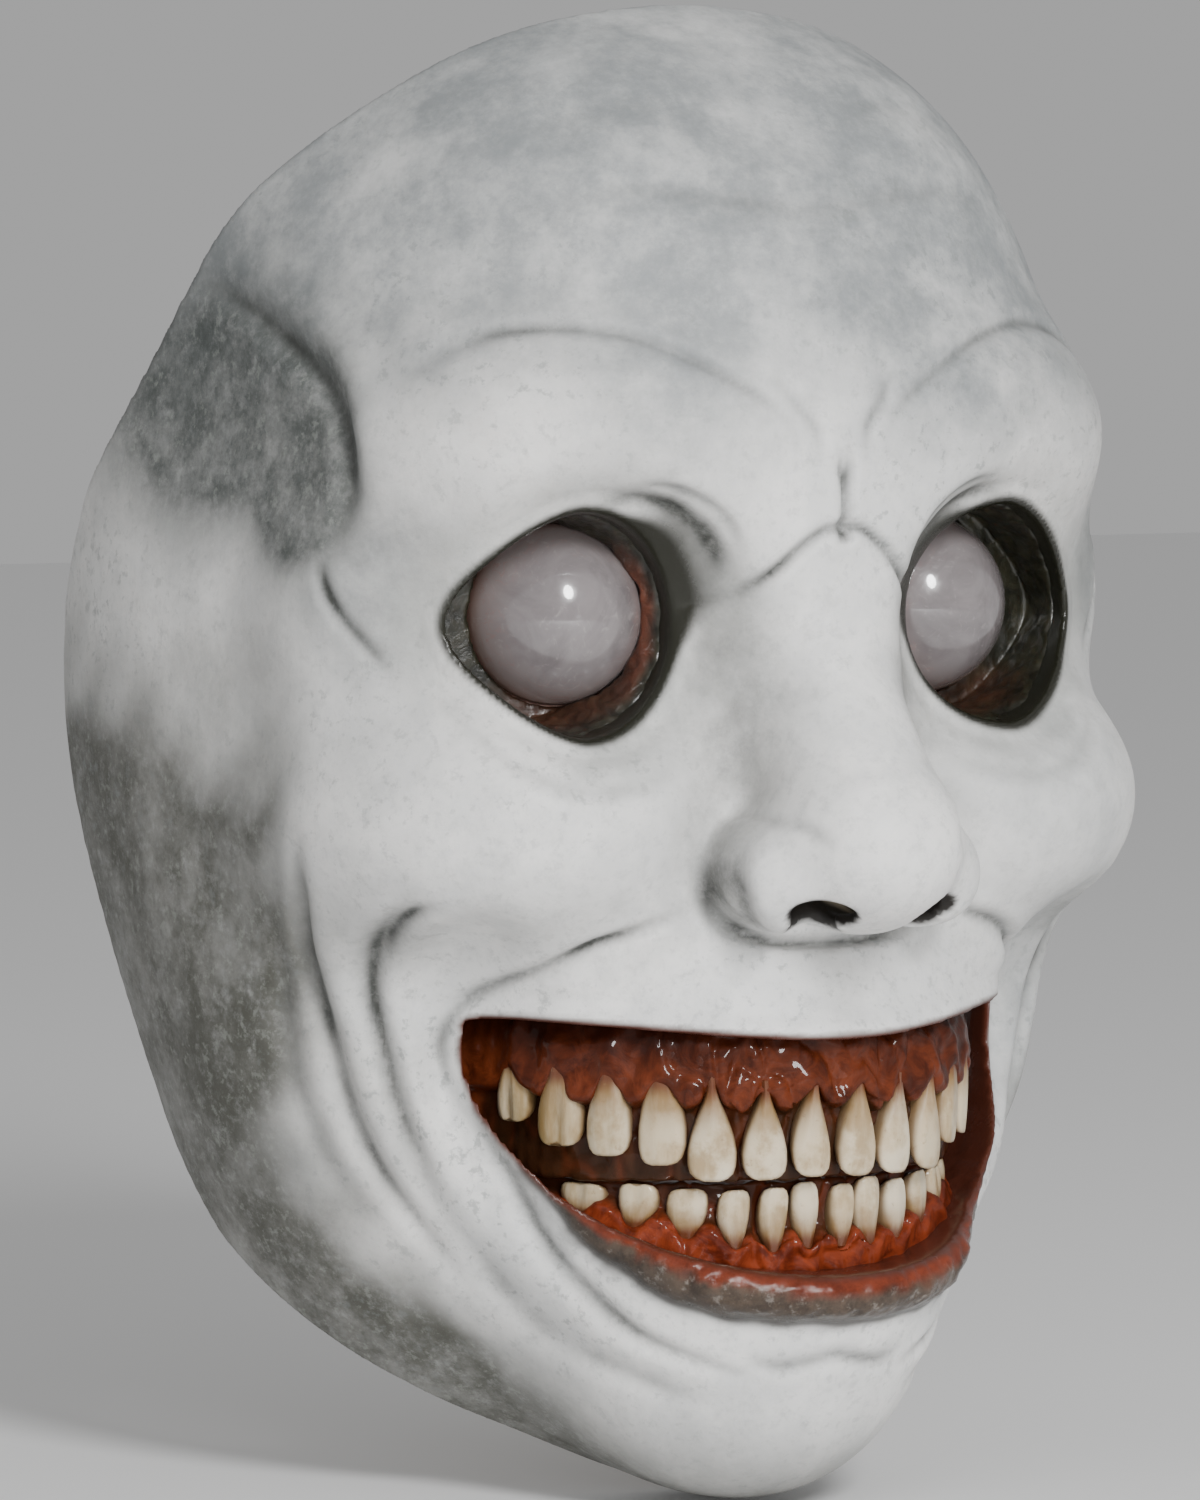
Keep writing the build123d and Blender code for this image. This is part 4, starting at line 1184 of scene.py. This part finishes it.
def round_corners(points, radius):
    """The line through the points with each corner turned on an arc."""
    points = [np.array(p, float) for p in points]
    line = [points[0]]
    for before, corner, after in zip(points, points[1:], points[2:]):
        a = (before - corner) / np.linalg.norm(before - corner)
        b = (after - corner) / np.linalg.norm(after - corner)
        half = math.acos(np.clip(a @ b, -1, 1)) / 2
        if half > math.pi / 2 - 0.02:
            line.append(corner)
            continue
        back = min(radius / math.tan(half), 0.49 * np.linalg.norm(before - corner),
                   0.49 * np.linalg.norm(after - corner))
        bow = back * math.tan(half)
        centre = corner + (a + b) / np.linalg.norm(a + b) * bow / math.sin(half)
        start, end = corner + a * back - centre, corner + b * back - centre
        sweep = math.atan2(start[0] * end[1] - start[1] * end[0], start @ end)
        for step in np.linspace(0, sweep, 9):
            c, s = math.cos(step), math.sin(step)
            line.append(centre + np.array([c * start[0] - s * start[1], s * start[0] + c * start[1]]))
    return np.array([*line, points[-1]])


def even_steps(line, step):
    """Points at even steps along a line, and how far along it each one is."""
    lengths = np.concatenate([[0], np.cumsum(np.linalg.norm(np.diff(line, axis=0), axis=1))])
    at = np.linspace(0, lengths[-1], max(2, int(lengths[-1] / step)))
    return np.stack([np.interp(at, lengths, line[:, 0]), np.interp(at, lengths, line[:, 1])], -1), at


def ribbon(name, line):
    """Flat elastic on edge along a plan line, with soft edges and ribs along its length."""
    centres, at = even_steps(line, RIBBON_STEP)
    tangent = np.gradient(centres, axis=0)
    tangent /= np.linalg.norm(tangent, axis=1, keepdims=True)
    side = np.stack([-tangent[:, 1], tangent[:, 0]], -1)
    heights = np.linspace(-1, 1, RIBBON_ACROSS)
    thick = STRAP_THICK / 2 * (1 - 0.35 * np.abs(heights) ** 8) - 0.09 * (np.arange(RIBBON_ACROSS) % 2)
    loop = [(h, t) for h, t in zip(heights, thick)] + [(h, -t) for h, t in zip(heights[::-1], thick[::-1])]
    vertices = []
    for centre, normal, s in zip(centres, side, at):
        wave = 0.12 * math.sin(s / 7.0)
        for h, t in loop:
            x, y = centre + normal * t
            vertices.append((x, y, h * STRAP_WIDTH / 2 + wave * abs(h)))
    piece = add_object(name, vertices, tube_faces(len(centres), len(loop)))
    store(piece, "along", np.repeat(at, len(loop)))
    store(piece, "across", np.tile([h for h, t in loop], len(centres)))
    return piece


def elastic_paint():
    """Black elastic with knitted ribs and a little fuzz; the grooves of the knit are painted darker, partly
    the knit pattern and partly painted shade.
    """
    paint = Paint("knitted elastic", Roughness=0.8, Sheen_Weight=0.35)
    along, across = paint.attribute("along"), paint.attribute("across")
    ribs = paint.maths("SINE", paint.maths("MULTIPLY", across, 62.0))
    rows = paint.maths("SINE", paint.maths("MULTIPLY", along, 5.2))
    knit = paint.times(ribs, rows)
    fuzz = paint.noise(1800, 3, 0.6)
    # Darker in the low parts of the knit bump: partly pattern, partly painted shade.
    paint.base(paint.mix(paint.spread(knit, -1.0, 1.0), (0.014, 0.014, 0.016), (0.04, 0.04, 0.044)))
    paint.over(paint.spread(fuzz, 0.5, 0.8, 0.0, 0.3), (0.09, 0.09, 0.095))
    paint.bump(knit, 0.25, 0.7)
    paint.bump(fuzz, 0.08, 0.5)
    return paint


def stitches(name, centres, paint):
    """Upright thread stitches, each a small rounded bar."""
    profile = [(-1.0, 0.12), (-0.7, 0.24), (0.0, 0.28), (0.7, 0.24), (1.0, 0.12)]
    around = 8
    vertices, faces = [], []
    for centre in centres:
        faces += tube_faces(len(profile), around, len(vertices))
        for height, radius in profile:
            for turn in np.linspace(0, 2 * math.pi, around, endpoint=False):
                way = np.array([-math.sin(turn), math.cos(turn), 0.0])
                vertices.append(centre + np.array([0.0, 0.0, height]) + radius * way)
    dress(add_object(name, vertices, faces), paint, "strap", "elastic")


def make_straps():
    """Long strap, which turns round the ring, and short strap, which folds back and is sewn."""
    paint = elastic_paint()
    outer_y = STRAP_BACK_Y + LAYER_STEP
    x = TAB_X - STRAP_THICK / 2
    side = [(x, STRAP_END_Y), (x, STRAP_FREE_Y), STRAP_SHOULDER, (STRAP_CORNER_X, STRAP_BACK_Y)]

    turn_x = RING_X + RING_HALF - LAYER_STEP / 2
    split = (turn_x + 4, STRAP_BACK_Y)
    run = round_corners([*side, split], LONG_BEND)
    tail = [split, (turn_x, STRAP_BACK_Y), (turn_x, outer_y), (LONG_TAIL_X, outer_y)]
    long_strap = ribbon("long_strap_look", np.concatenate([run, round_corners(tail, FOLD_BEND)[1:]]))
    dress(long_strap, paint, "strap", "elastic", "long_strap")

    turn_x = RING_X - RING_HALF + LAYER_STEP / 2
    split = (turn_x - 3, STRAP_BACK_Y)
    run = round_corners([*[(-px, py) for px, py in side], split], SHORT_BEND)
    diagonal = math.sqrt(0.5)
    end = (2 - STRAP_SHOULDER[0], 2 + STRAP_SHOULDER[1] + 2 * STRAP_THICK * diagonal)
    meet = (end[0] + outer_y - end[1], outer_y)
    fold = [split, (turn_x, STRAP_BACK_Y), (turn_x, outer_y), meet, end]
    short_strap = ribbon("short_strap_look", np.concatenate([run, round_corners(fold, FOLD_BEND)[1:]]))
    dress(short_strap, paint, "strap", "elastic", "short_strap")

    thread = Paint("strap thread", Base_Color=(0.05, 0.05, 0.055), Roughness=0.7)
    along = np.array([diagonal, diagonal, 0])
    out = np.array([-diagonal, diagonal, 0]) * (STRAP_THICK / 2 + 0.1)
    centres = [np.array([*end, z]) + along * s + out for z in np.arange(-8, 8.1, 2.0) for s in (1.5, 5.0)]
    stitches("short_strap_stitches", centres, thread)


def make_hardware():
    """Looks for the snaps, the ring and the slider, whose CAD shapes stay."""
    metal = Paint("nickel snap", Base_Color=(0.62, 0.61, 0.58), Metallic=1.0, Roughness=0.28)
    metal.put("Roughness", metal.spread(metal.noise(500, 4, 0.6), 0.3, 0.7, 0.2, 0.38))
    plastic = Paint("moulded strap plastic", Base_Color=(0.02, 0.02, 0.022), Roughness=0.38)
    plastic.bump(plastic.noise(900, 3, 0.6), 0.05, 0.4)
    for side in ("left", "right"):
        for part in ("snap_stud", "snap_socket", "snap_cap"):
            coat(bpy.data.objects[f"{side}_{part}"], metal)
    for node in ("strap_ring", "strap_slider"):
        coat(bpy.data.objects[node], plastic)


make_skin()
make_eyes()
make_mouth()
make_lining()
make_straps()
make_hardware()


# ---- stage -------------------------------------------------------------------------------


AZIMUTH, ELEVATION, DISTANCE = math.radians(-30), math.radians(4), 1.5
TARGET = Vector((0.0, -0.014, -0.0255))
SENSOR, VIEW_HEIGHT = 36, 0.262
FLOOR_HALF, FLOOR_GAP = 3.0, 0.001
# Each light: name, place, sizes, power and whether wet paint mirrors it.
LIGHTS = [
    ("key", (-0.16, -1.25, 0.66), (0.28, 0.42), 17, True),
    ("fill", (-0.35, -1.4, -0.02), (1.2, 0.3), 12, False),
]
WORLD_STRENGTH = 0.42


def aim(piece, location):
    """Put a camera or a light there, turned to the middle of the mask."""
    bpy.context.scene.collection.objects.link(piece)
    piece.location = location
    piece.rotation_mode = "QUATERNION"
    piece.rotation_quaternion = (TARGET - Vector(location)).to_track_quat("-Z", "Y")


def add_camera():
    """Three-quarter view from the wearer's right, slightly above eye level."""
    data = bpy.data.cameras.new("camera")
    data.sensor_width = SENSOR
    data.lens = SENSOR * DISTANCE / VIEW_HEIGHT
    camera = bpy.data.objects.new("camera", data)
    level = math.cos(ELEVATION)
    back = Vector((math.sin(AZIMUTH) * level, -math.cos(AZIMUTH) * level, math.sin(ELEVATION)))
    aim(camera, TARGET + back * DISTANCE)
    bpy.context.scene.camera = camera


def add_lights():
    for name, location, size, power, mirrored in LIGHTS:
        data = bpy.data.lights.new(name, "AREA")
        data.shape = "ELLIPSE"
        data.size, data.size_y = size
        data.energy = power
        light = bpy.data.objects.new(name, data)
        aim(light, location)
        light.visible_glossy = mirrored
    world = bpy.data.worlds.new("studio")
    bpy.context.scene.world = world
    world.use_nodes = True
    background = world.node_tree.nodes["Background"].inputs
    background["Color"].default_value = (1, 1, 1, 1)
    background["Strength"].default_value = WORLD_STRENGTH


def add_floor():
    z = CAD_BOX[0][2] - FLOOR_GAP
    corners = [(x * FLOOR_HALF, y * FLOOR_HALF, z) for x, y in ((-1, -1), (1, -1), (1, 1), (-1, 1))]
    floor = add_object("floor", np.array(corners) / MM, [(0, 1, 2, 3)])
    coat(floor, Paint("floor", Base_Color=(0.86, 0.86, 0.86), Roughness=0.7))


add_camera()
add_floor()
add_lights()
